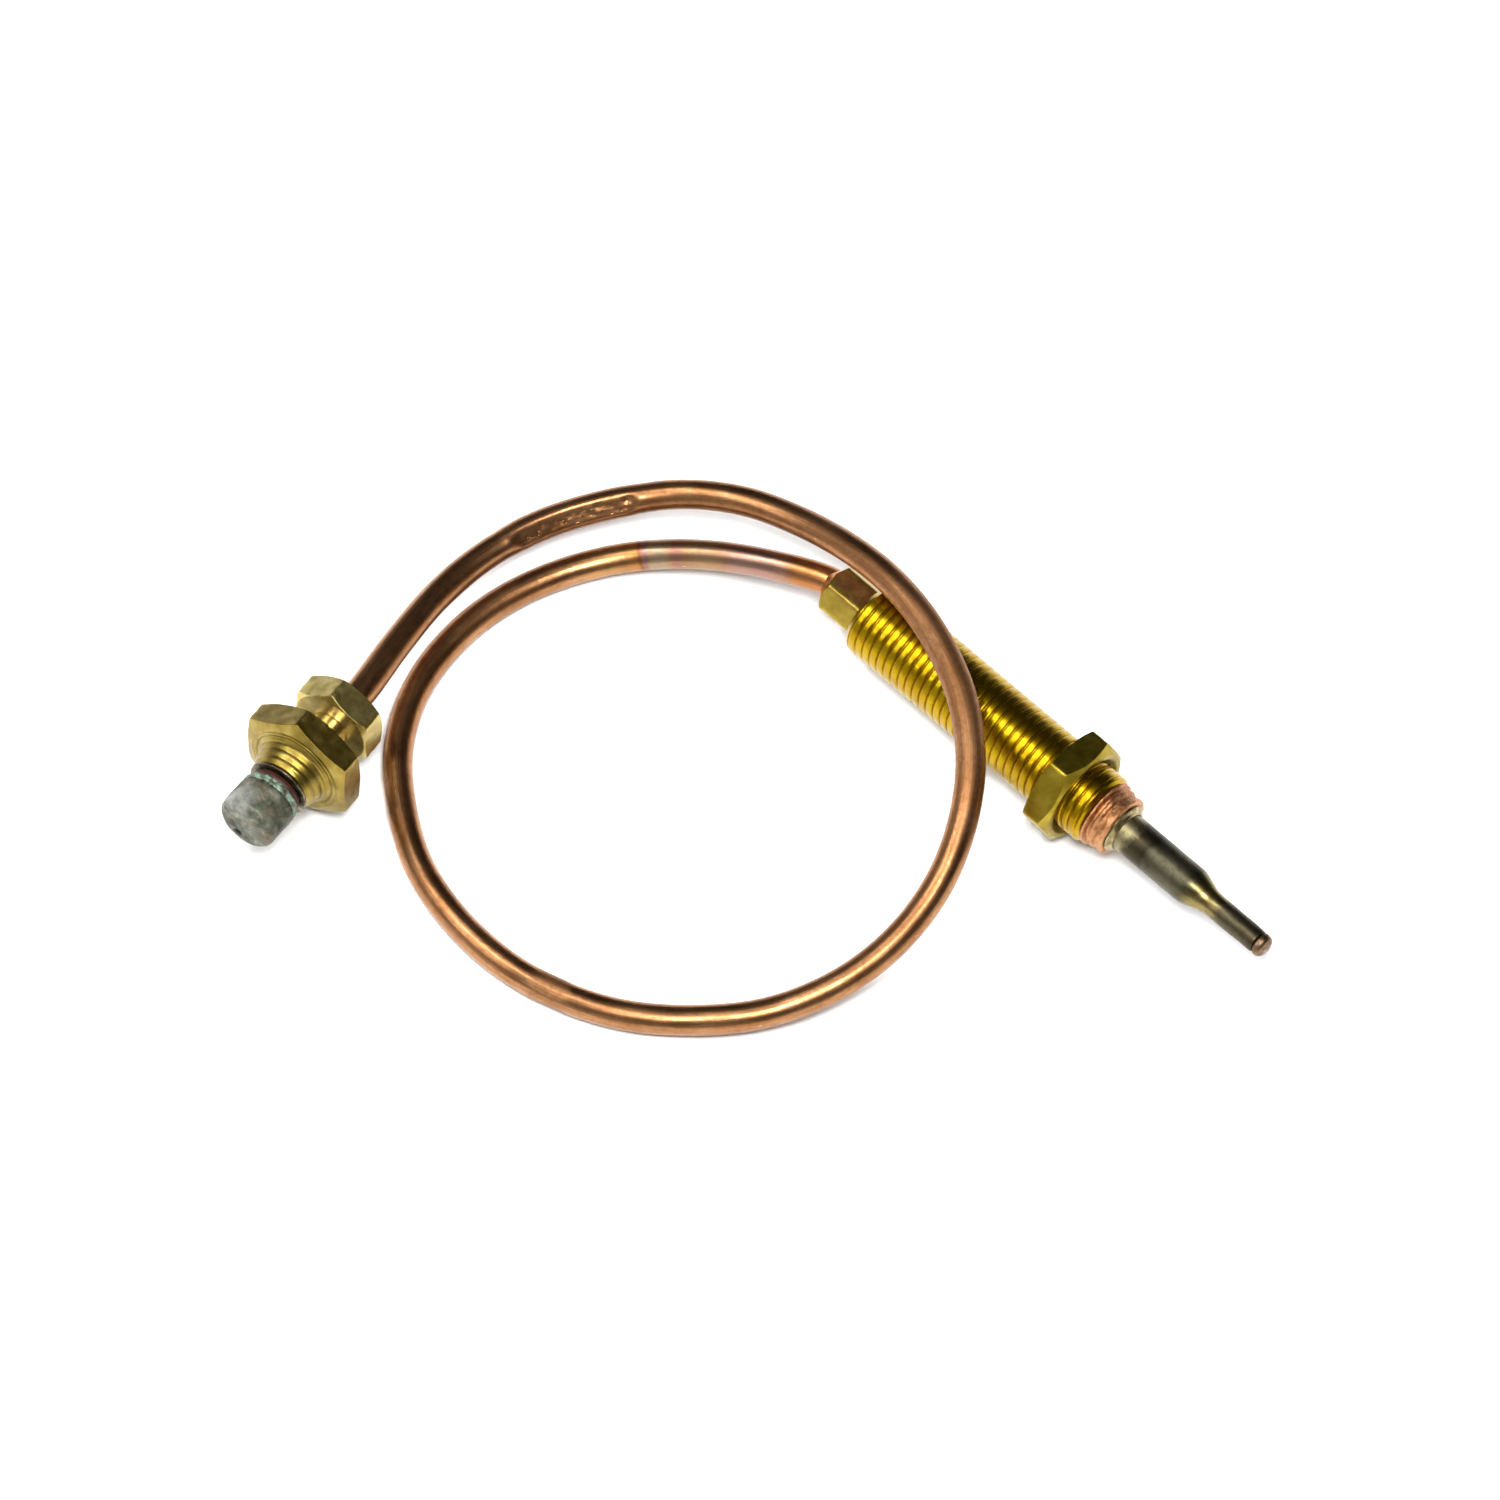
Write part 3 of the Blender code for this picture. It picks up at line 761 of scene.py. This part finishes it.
def verdigris():
    """Brass under a broken crust of pale green corrosion."""
    look = Look("verdigris")
    crust = look.noise(look.world, 1.3, 5.0, 0.7)
    cover = look.ramp(crust, [(0.42, 0.0), (0.56, 1.0)])
    green = look.noise(look.world, 2.8, 4.0)
    green = look.ramp(green, [(0.35, (0.085, 0.145, 0.10)), (0.65, (0.24, 0.34, 0.26))])
    colour = look.mix(cover, (0.12, 0.115, 0.08), green)
    normal = look.bump(crust, 0.12)
    metallic = look.ramp(cover, [(0.0, 0.9), (1.0, 0.15)])
    return look.done(colour, look.ramp(cover, [(0.0, 0.42), (1.0, 0.62)]), normal, metallic)


def dull_solder():
    """Weathered solder: grey, with white bloom, dark pits, a little green, and painted shade in the
    deep pit on the end.
    """
    look = Look("dull_solder")
    cloud = look.noise(look.world, 0.62, 6.0, 0.6, 0.12)
    colour = look.ramp(
        cloud,
        [
            (0.32, (0.016, 0.017, 0.010)),
            (0.44, (0.055, 0.055, 0.034)),
            (0.56, (0.105, 0.104, 0.070)),
            (0.70, (0.23, 0.23, 0.185)),
        ],
    )
    pits = look.ramp(look.noise(look.world, 2.1, 5.0, 0.7), [(0.56, 0.0), (0.68, 0.8)])
    colour = look.mix(pits, colour, (0.04, 0.043, 0.028))
    green = look.noise(look.scaled(look.world, (1.0, 1.0, 1.3)), 0.9, 3.0)
    colour = look.mix(look.ramp(green, [(0.54, 0.0), (0.66, 0.4)]), colour, (0.10, 0.145, 0.10))
    tan = look.noise(look.scaled(look.world, (1.3, 1.0, 1.0)), 0.7, 3.0)
    colour = look.mix(look.ramp(tan, [(0.56, 0.0), (0.70, 0.5)]), colour, (0.17, 0.11, 0.07))
    end = COLD.span("solder_tip")[1]
    bloom = look.near(COLD.points(end - 1.0, 3.1, 0.5), 2.4)
    bloom = look.math("MULTIPLY", bloom, look.ramp(cloud, [(0.35, 0.2), (0.6, 0.9)]))
    colour = look.mix(bloom, colour, (0.30, 0.31, 0.28))
    # painted shade: the deep pit on the end is painted almost black
    pit = look.near(COLD.points(end - 0.3, math.hypot(*PIT), math.atan2(PIT[1], PIT[0])), 0.8)
    colour = look.mix(look.math("MULTIPLY", pit, 0.95), colour, (0.012, 0.013, 0.010))
    normal = look.bump(look.noise(look.world, 1.6, 6.0, 0.65), 0.10)
    return look.done(colour, look.vary(cloud, 0.62, 0.45), normal, 0.55)


def glass_sleeving():
    """Woven glass round the wires."""
    look = Look("glass_sleeving", metallic=0.0)
    weave = look.noise(look.scaled(look.world, (3.0, 1.0, 1.0)), 3.0, 3.0)
    colour = look.ramp(weave, [(0.3, (0.60, 0.57, 0.47)), (0.7, (0.86, 0.84, 0.76))])
    return look.done(colour, look.vary(weave, 0.85, 0.7), look.bump(weave, 0.05))


def pale_floor():
    """Matt off-white paper."""
    look = Look("pale_floor", metallic=0.0, specular=0.1)
    paper = look.noise(look.world, 0.02, 4.0)
    colour = look.vary(paper, 0.905, 0.93)
    normal = look.bump(look.noise(look.world, 1.2, 3.0), 0.01)
    return look.done(colour, look.vary(paper, 0.95, 0.88), normal)


# ---------------------------------------------------------------- camera, floor and light


def studio():
    """The camera, the floor, the grey room that the metal mirrors, and the soft boxes."""
    scene = bpy.context.scene
    lens = bpy.data.cameras.new("camera")
    lens.sensor_width = SENSOR_WIDTH
    lens.lens = SENSOR_WIDTH * CAMERA_DISTANCE / FIELD_WIDTH
    lens.clip_start, lens.clip_end = CLIP_M
    camera = bpy.data.objects.new("camera", lens)
    scene.collection.objects.link(camera)
    turn = Matrix((CAMERA_RIGHT, CAMERA_UP, CAMERA_BACK)).transposed()
    place = (CAMERA_TARGET + CAMERA_BACK * CAMERA_DISTANCE) * MM
    camera.matrix_world = Matrix.Translation(place) @ turn.to_4x4()
    scene.camera = camera
    scene.view_settings.view_transform = "Standard"

    bpy.ops.mesh.primitive_plane_add(size=FLOOR_M)
    floor = bpy.context.object
    floor.name = "floor"
    floor.data.materials.append(pale_floor())

    world = bpy.data.worlds.new("room")
    scene.world = world
    world.use_nodes = True
    tree = world.node_tree
    coordinates = tree.nodes.new("ShaderNodeTexCoord")
    toward = tree.nodes.new("ShaderNodeVectorMath")
    toward.operation = "DOT_PRODUCT"
    toward.inputs[1].default_value = Vector(ROOM_LIGHT_SIDE).normalized()
    tree.links.new(coordinates.outputs["Generated"], toward.inputs[0])
    half = tree.nodes.new("ShaderNodeMath")
    half.operation = "MULTIPLY_ADD"
    half.inputs[1].default_value = 0.5
    half.inputs[2].default_value = 0.5
    tree.links.new(toward.outputs["Value"], half.inputs[0])
    split = tree.nodes.new("ShaderNodeSeparateXYZ")
    tree.links.new(coordinates.outputs["Generated"], split.inputs[0])

    def greys(value, stops):
        ramp = tree.nodes.new("ShaderNodeValToRGB")
        tree.links.new(value, ramp.inputs[0])
        elements = ramp.color_ramp.elements
        for place, grey in stops[1:-1]:
            elements.new(place).color = (grey, grey, grey, 1.0)
        for end in (0, -1):
            elements[end].color = (*[stops[end][1]] * 3, 1.0)
        return ramp.outputs[0]

    both = tree.nodes.new("ShaderNodeVectorMath")
    both.operation = "MULTIPLY"
    tree.links.new(greys(half.outputs[0], ROOM_GREYS), both.inputs[0])
    tree.links.new(greys(split.outputs[2], ROOM_HEIGHTS), both.inputs[1])
    tree.links.new(both.outputs[0], tree.nodes["Background"].inputs["Color"])

    for name, (up, right, away), distance, size, watts in SOFTBOXES:
        lamp = bpy.data.lights.new(name, "AREA")
        lamp.shape = "RECTANGLE"
        lamp.size, lamp.size_y = size
        lamp.energy = watts
        box = bpy.data.objects.new(name, lamp)
        scene.collection.objects.link(box)
        direction = up * Vector((0.0, 0.0, 1.0)) + right * CAMERA_RIGHT + away * CAMERA_AWAY
        direction = direction.normalized()
        box.location = CAMERA_TARGET * MM + direction * distance
        box.rotation_euler = direction.to_track_quat("Z", "Y").to_euler()
        box.visible_camera = False
        # the fill lights the floor and isn't mirrored in the metal
        box.visible_glossy = name != "floor_fill"


# ---------------------------------------------------------------- lead


def smooth_curve(route, per_span=40):
    """Close points on one smooth curve through the route's points."""
    points = np.array(route, float)
    points = np.vstack([2 * points[0] - points[1], points, 2 * points[-1] - points[-2]])
    out = []
    for before, start, end, after in zip(points, points[1:], points[2:], points[3:]):
        for step in range(per_span):
            share = step / per_span
            out.append(
                0.5
                * (
                    2.0 * start
                    + (end - before) * share
                    + (2.0 * before - 5.0 * start + 4.0 * end - after) * share**2
                    + (3.0 * start - 3.0 * end + after - before) * share**3
                )
            )
    out.append(points[-2])
    return np.array(out)


def even_points(curve, count):
    """count evenly spaced points on a curve, and their distances along it."""
    lengths = np.concatenate([[0.0], np.cumsum(np.linalg.norm(np.diff(curve, axis=0), axis=1))])
    wanted = np.linspace(0.0, lengths[-1], count)
    return np.stack([np.interp(wanted, lengths, curve[:, each]) for each in range(3)], axis=1), wanted


def bell(value, middle, width):
    """1 at the middle, and less with the distance from it."""
    return np.exp(-(((value - middle) / width) ** 2))


def lead_radius(along, angle):
    """The tube's radius. It is pressed flat where it is stamped, and dented in a few places."""
    radius = LEAD_R + 0.012 * waves(5, 24, along, angle, 0.05, 0.9, 4)
    widen = (
        0.07 * bell(along, 246.0, 5.0)
        + 0.05 * bell(along, 97.0, 1.6)
        + 0.03 * bell(along, 110.0, 12.0)
        + 0.09 * np.clip(np.minimum(along - LAND_START + 1.5, LAND_END + 1.5 - along) / 2.5, 0.0, 1.0)
    )
    radius = radius + widen
    for place, turn, depth, half in LEAD_FLATS:
        edge = np.clip((half + 1.0 - np.abs(along - place)) / 1.6, 0.0, 1.0)
        edge = edge * edge * (3.0 - 2.0 * edge)
        near = np.cos(angle - turn)
        limit = (LEAD_R + 0.1 - depth) / np.maximum(near, 0.2)
        cut = np.minimum(radius, limit)
        radius = radius + (cut - radius) * edge * (near > 0.2)
    # shallow stamped pits in the land
    picker = np.random.default_rng(11)
    for number in range(24):
        place = LAND_START + 0.6 + (LAND_END - LAND_START - 1.2) * number / 23.0
        turn = LAND_TURN + picker.uniform(-0.38, 0.38)
        size = picker.uniform(0.16, 0.34)
        away = ((along - place) / size) ** 2 + ((angle - turn) * LEAD_R / size) ** 2
        radius = radius - picker.uniform(0.03, 0.08) * np.exp(-away)
    pit = ((along - LAND_START - 0.3) / 0.5) ** 2 + ((angle + 0.5) * LEAD_R / 0.35) ** 2
    return radius - 0.22 * np.exp(-pit)


def build_lead():
    path, along = even_points(smooth_curve(LEAD_ROUTE), LEAD_RINGS)
    heading = np.gradient(path, axis=0)
    heading /= np.linalg.norm(heading, axis=1)[:, None]
    side = np.cross(heading, [0.0, 0.0, 1.0])
    side /= np.linalg.norm(side, axis=1)[:, None]
    up = np.cross(side, heading)
    angle = np.linspace(-math.pi, math.pi, LEAD_SIDES + 1)
    angles = np.repeat(angle[None, :], LEAD_RINGS, axis=0)
    alongs = np.repeat(along[:, None], LEAD_SIDES + 1, axis=1)
    radius = lead_radius(alongs, angles)
    radius[:, -1] = radius[:, 0]
    across = np.cos(angles)[..., None] * up[:, None, :] + np.sin(angles)[..., None] * side[:, None, :]
    skin = Skin()
    points = path[:, None, :] + radius[..., None] * across
    skin.sheet(points, np.stack([alongs, angles * LEAD_R], axis=-1))
    for end, number in ((0, 0), (-1, LEAD_RINGS - 1)):
        cap = np.stack([points[end], np.repeat(path[number][None, :], LEAD_SIDES + 1, axis=0)])
        skin.sheet(cap, np.stack([alongs[end], angles[end] * LEAD_R], axis=-1)[None].repeat(2, axis=0))
    tube = skin.made("copper_lead", [lead_copper()])
    fitted(tube, "lead_tube", "thermocouple")
    return tube, path, float(along[-1])


# ---------------------------------------------------------------- hot end


def build_sleeve():
    start, end, _ = HOT.span("threaded_sleeve")
    skin = Skin()
    for points, uvs in threaded(HOT, start, end, (0.75, 3.3, 0.5, 3.45), SLEEVE_BORE_R, 3):
        skin.sheet(points, uvs)
    fitted(skin.made("sleeve", [bright_brass()]), "threaded_sleeve", "thermocouple")


def build_locknut():
    rear, front, _ = HOT.span("locknut")
    bore = ((rear, 4.5), (rear + 0.45, 4.03), (front - 0.55, 4.03), (front, 4.7))
    skin = Skin().sheet(
        *hexagonal(
            HOT, rear, front, LOCKNUT_FLATS, LOCKNUT_TURN, (5.6, 5.2), (0.3, 0.8), bore, seed=4
        )
    )
    fitted(skin.made("jam_nut", [nut_brass("locknut_brass")]), "locknut", "locknut")


def ferrule_brass():
    """Brass with a darker pink-brown top: scorch from the brazing, and painted shade on the top facets.
    """
    look = Look("ferrule_brass")
    scorch = look.noise(look.world, 0.8, 4.0)
    # painted shade: the top facets are painted a darker pink-brown, over the scorch
    top = look.remap(look.math("ABSOLUTE", look.round), 0.4, 2.2, 1.0, 0.0)
    cover = look.math("MULTIPLY", top, look.ramp(scorch, [(0.25, 0.55), (0.6, 1.0)]))
    brass = look.ramp(
        scorch, [(0.3, (0.28, 0.19, 0.024)), (0.6, (0.38, 0.28, 0.045)), (0.8, (0.34, 0.19, 0.05))]
    )
    colour = look.mix(cover, brass, (0.22, 0.105, 0.045))
    roughness = look.vary(look.noise(look.world, 2.4, 3.0), 0.30, 0.46)
    normal = look.bump(look.noise(look.world, 2.5, 5.0, 0.65), 0.04)
    return look.done(colour, roughness, normal)


def build_ferrule():
    start = HOT.span("rear_ferrule")[0]
    # it goes on inside the sleeve, where it isn't seen
    front = -0.02
    bore = ((start, 1.6), (start + 0.4, 1.56), (-0.2, 1.56), (front, 1.6))
    skin = Skin().sheet(
        *hexagonal(
            HOT, start, front, FERRULE_FLATS, 0.0, (2.6, 2.9), (0.35, 0.05), bore, seed=9, wear=0.03
        )
    )
    fitted(skin.made("ferrule", [ferrule_brass()]), "rear_ferrule", "thermocouple")
    mouth, start = HOT.span("rear_braze_ring")[:2]

    def uneven(along, radius, angle):
        lump = 1.0 + 0.35 * waves(21, 8, along, angle, 0.2, 1.0, 6)
        return along - (start - along) * 0.5 * (lump - 1.0), 1.55 + (radius - 1.55) * lump

    outline = ((start, 1.5), (mouth - 0.3, 1.5), (mouth - 0.1, 1.75), (mouth + 0.3, 2.1), (start, 2.4))
    ring = turned("entry_braze", orange_braze(), HOT, outline, shape=uneven, step=0.12)
    fitted(ring, "rear_braze_ring", "thermocouple")


def build_collar():
    start, end, _ = HOT.span("front_collar")

    def torn(along, radius, angle):
        """Torn ridges that wander a little round the collar."""
        outer = rise(radius, 2.5, 0.4)
        shift = 0.10 * np.sin(angle + 0.6) + 0.05 * np.sin(3.0 * angle)
        rough = 0.05 * waves(31, 22, along, angle, 1.0, 9.0, 15)
        rough = rough + 0.03 * waves(32, 20, along, angle, 4.0, 16.0, 40)
        return along + shift * outer * 0.6, radius + rough * outer

    outline = (
        (start, 2.2), (start, 3.75), (start + 0.22, 3.70), (start + 0.35, 3.10), (start + 0.62, 3.05),
        (start + 0.85, 3.48), (start + 1.15, 3.40), (start + 1.32, 3.18), (start + 1.62, 3.24),
        (end - 0.35, 3.34), (end - 0.12, 3.30), (end, 3.0), (end, 2.2),
    )
    collar = turned("collar", pink_copper(), HOT, outline, 180, 0.07, 0.10, torn)
    fitted(collar, "front_collar", "thermocouple")

    rim, rim_end, _ = HOT.span("front_braze_ring")

    def uneven(along, radius, angle):
        lump = 0.06 * waves(33, 12, along, angle, 1.0, 5.0, 9)
        outer = rise(radius, 2.15, 0.2)
        return along + lump * outer, radius + lump * outer

    outline = (
        (rim, 2.12), (rim, 2.85), (rim + 0.12, 2.80), (rim + 0.3, 2.45), (rim_end + 0.1, 2.2),
        (rim_end + 0.1, 2.12),
    )
    ring = turned("collar_braze", straw_brass(), HOT, outline, size=0.08, step=0.08, shape=uneven)
    fitted(ring, "front_braze_ring", "thermocouple")


def build_probe():
    start, end, _ = HOT.span("probe_sheath")
    bead_start, tip, _ = HOT.span("hot_junction_bead")

    def worn(along, radius, angle):
        outer = rise(radius, 1.0, 0.2)
        dent = bell(along, 39.6, 1.2) * bell(angle, 1.2, 0.5) * 0.10
        return along, radius + outer * (0.015 * waves(41, 16, along, angle, 0.2, 2.2, 6) - dent)

    outline = (
        (start, 1.5), (start, 2.1), (45.0, 2.1), (45.7, 2.07), (46.6, 1.80), (47.6, 1.45), (48.5, 1.31),
        (end, 1.26), (end, 0.9), (48.4, 0.88), (45.6, 1.5),
    )
    sheath = turned("sheath", probe_metal(), HOT, outline, 144, 0.5, 0.25, worn)
    fitted(sheath, "probe_sheath", "thermocouple")

    def lumpy(along, radius, angle):
        return along, radius * (1.0 + 0.02 * waves(43, 10, along, angle, 0.5, 3.0, 5))

    outline = (
        (bead_start - 0.5, 0.0), (bead_start - 0.5, 0.8), (bead_start, 0.8), (bead_start, 1.20),
        (bead_start + 0.12, 1.27), (tip - 0.62, 1.27), (tip - 0.25, 1.08), (tip - 0.05, 0.66),
        (tip, 0.0),
    )
    bead = turned("junction_bead", burnt_metal(), HOT, outline, 96, 0.22, 0.08, lumpy, closed=False)
    fitted(bead, "hot_junction_bead", "thermocouple")


# ---------------------------------------------------------------- cold end


def neck_highlight_brass():
    """The turned neck: its own straw brass, painted much paler than the hex of the same piece as a
    painted highlight.
    """
    look = Look("neck_highlight_brass")
    cloud = look.noise(look.world, 0.8, 3.0)
    # painted highlight: the pale colour makes the neck's highlights cream-white
    colour = look.ramp(
        cloud, [(0.3, (0.66, 0.49, 0.22)), (0.6, (0.82, 0.68, 0.38)), (0.8, (0.72, 0.52, 0.26))]
    )
    lines = look.lines(7.0, 0.4, 3.0)
    return look.done(colour, look.vary(lines, 0.13, 0.20), look.bump(lines, 0.0008))


def build_terminal():
    start, end, _ = COLD.span("terminal_body")
    front = start + SMALL_HEX_LENGTH
    bore = ((start, 1.9), (start + 0.3, 1.6), (front - 0.3, 1.6), (front, 2.0))
    flats, turn = SMALL_HEX_FLATS, COLD_HEX_TURN
    skin = Skin().sheet(
        *hexagonal(COLD, start, front, flats, turn, (4.15, 4.2), (0.35, 0.45), bore, 14, wear=0.03)
    )
    neck = ((front - 1.0, 1.65), (front - 1.0, 2.1), (end, 2.1), (end, 1.65))
    skin.sheet(*revolved(COLD, neck, size=0.1, step=0.3), 1)
    brass = nut_brass("terminal_brass", (0.49, 0.385, 0.125), (0.345, 0.26, 0.067), (0.62, 0.53, 0.22))
    body = skin.made("terminal", [brass, neck_highlight_brass()])
    fitted(body, "terminal_body", "thermocouple")


def build_connection_nut():
    start, end, _ = COLD.span("connection_nut")
    front = start + UNION_HEX_LENGTH
    face = front - 0.12
    bore = ((start, 2.6), (start + 0.3, 2.35), (front - 0.5, 2.35), (face, 4.2))
    flats, turn = UNION_FLATS, COLD_HEX_TURN
    skin = Skin().sheet(
        *hexagonal(COLD, start, face, flats, turn, (5.9, 5.3), (0.4, 0.6), bore, 24, wear=0.03)
    )

    def part_groove(along, radius, angle):
        """A groove round part of the boss."""
        cut = bell(radius, 4.56, 0.07) * np.clip(0.55 + 0.6 * np.cos(angle + 0.5), 0.0, 1.0)
        return along - 0.16 * cut + 0.015 * waves(26, 8, along, angle, 0.2, 1.0, 7), radius

    boss = (
        (front - 0.6, 3.2), (front - 0.3, 4.95), (front - 0.10, 4.98), (front - 0.03, 4.86),
        (front - 0.02, 4.40), (front + 0.12, 4.28), (front + 0.3, 4.0), (front + 0.3, 3.2),
    )
    skin.sheet(*revolved(COLD, boss, 160, 0.04, 0.03, part_groove))

    def ridged(along, radius, angle):
        """A short worn thread."""
        outer = rise(radius, 2.9, 0.3)
        phase = np.mod((along - front) / NOSE_PITCH - angle / math.tau, 1.0)
        crest = (0.5 - 0.5 * np.cos(math.tau * phase)) ** 0.7
        whole = rise(along - front, 0.1, 0.3) * np.clip((end - 0.2 - along) / 0.3, 0.0, 1.0)
        wear = 0.7 + 0.3 * waves(27, 8, along, angle, 0.2, 1.0, 5)
        rough = 0.012 * waves(28, 12, along, angle, 0.5, 3.0, 9)
        return along, radius + outer * (0.13 * crest * whole * wear + rough)

    cone = (
        (front - 0.4, 2.35), (front - 0.4, 4.15), (front + 0.1, 4.15), (front + 0.45, 3.95),
        (end - 0.5, 3.45), (end - 0.08, 3.30), (end, 3.15), (end, 2.35),
    )
    skin.sheet(*revolved(COLD, cone, 180, 0.08, 0.05, ridged))
    brass = nut_brass("union_brass", (0.255, 0.18, 0.034), (0.175, 0.118, 0.018), (0.36, 0.275, 0.08))
    fitted(skin.made("union_nut", [brass]), "connection_nut", "connection_nut")


def build_contact():
    start, end, _ = COLD.span("thrust_washer")

    def uneven(along, radius, angle):
        outer = rise(radius, 2.6, 0.3)
        return along, radius + outer * 0.03 * waves(51, 12, along, angle, 0.5, 4.0, 9)

    outline = ((start, 2.3), (start, 3.36), (end, 3.40), (end, 2.3))
    washer = turned("pale_washer", pale_metal(), COLD, outline, size=0.1, step=0.1, shape=uneven)
    fitted(washer, "thrust_washer", "thrust_washer")

    start, end, _ = COLD.span("insulating_washer")
    face = COLD.span("terminal_body")[1] + 0.05
    outline = (
        (start, 0.5), (start, 1.6), (face, 1.6), (face, 2.8), (end - 0.3, 2.95), (end, 2.9), (end, 0.5)
    )
    fibre = turned("fibre_washer", red_fibre(), COLD, outline, size=0.08, step=0.15, shape=uneven)
    fitted(fibre, "insulating_washer", "thermocouple")

    start, end, _ = COLD.span("contact_cup")

    def crusted(along, radius, angle):
        outer = rise(radius, 2.2, 0.4)
        crust = 0.05 * waves(53, 18, along, angle, 1.0, 8.0, 14)
        return along + 0.04 * outer * waves(54, 12, along, angle, 1.0, 4.0, 9), radius + outer * crust

    outline = (
        (start, 0.5), (start, 3.1), (start + 0.2, 3.25), (end - 0.1, 3.26), (end + 0.05, 3.2),
        (end + 0.05, 0.5),
    )
    cup = turned("green_cup", verdigris(), COLD, outline, 160, 0.12, 0.12, crusted)
    fitted(cup, "contact_cup", "thermocouple")

    start, end, _ = COLD.span("solder_tip")

    def lumpy(along, radius, angle):
        outer = rise(radius, 0.0, 2.5)
        lump = 0.10 * waves(61, 14, along, angle, 0.3, 1.6, 4)
        lump = lump + 0.04 * waves(62, 22, along, angle, 1.0, 5.0, 11)
        from_pit = np.hypot(radius * np.cos(angle) - PIT[0], radius * np.sin(angle) - PIT[1])
        pit = 0.5 * bell(from_pit, 0.0, 0.42) * (along > end - 1.0)
        ends = rise(along, start, 0.5)
        return along - pit + 0.05 * lump * (1.0 - outer), radius + outer * ends * lump

    outline = (
        (start + 1.2, 0.0), (start + 1.2, 0.5), (start, 0.5), (start, 3.15), (start + 0.3, 3.22),
        (end - 0.55, 3.16), (end - 0.10, 2.75), (end - 0.05, 1.6), (end, 0.0),
    )
    tip = turned("solder_nose", dull_solder(), COLD, outline, 160, 0.22, 0.10, lumpy, closed=False)
    fitted(tip, "solder_tip", "thermocouple")


# ---------------------------------------------------------------- inside


def dress_inner_nodes():
    """Materials for the CAD pieces that are shown as they are."""
    looks = {
        "glass_fibre": glass_sleeving(),
        "constantan": inner_metal("constantan", (0.42, 0.38, 0.32), (0.58, 0.54, 0.47)),
        "copper": inner_metal("inner_copper", (0.46, 0.22, 0.12), (0.66, 0.36, 0.22)),
        "bright_brass": inner_metal("inner_brass", (0.50, 0.38, 0.14), (0.68, 0.54, 0.24)),
    }
    slots = {each["node"]: each["material_slot"] for each in frame["record"]["subparts"]}
    for name, node in frame["nodes"].items():
        if node.hide_render:
            continue
        node.data.materials.clear()
        node.data.materials.append(looks[slots[name]])


def declare_lead(tube, path, length):
    """The free cord runs from the ferrule to the fitting on its far end. This finds where the lead
    leaves the rear ferrule and takes every fourth point of its path, and does nothing with them.
    """
    leave = int(np.argmax(path[:, 0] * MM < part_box("rear_ferrule")[0].x))
    [float(number) * MM for number in path[leave]]
    [[float(number) * MM for number in point] for point in path[::4]]


def main():
    studio()
    lead = build_lead()
    build_sleeve()
    build_locknut()
    build_ferrule()
    build_collar()
    build_probe()
    build_terminal()
    build_connection_nut()
    build_contact()
    declare_lead(*lead)
    dress_inner_nodes()


main()
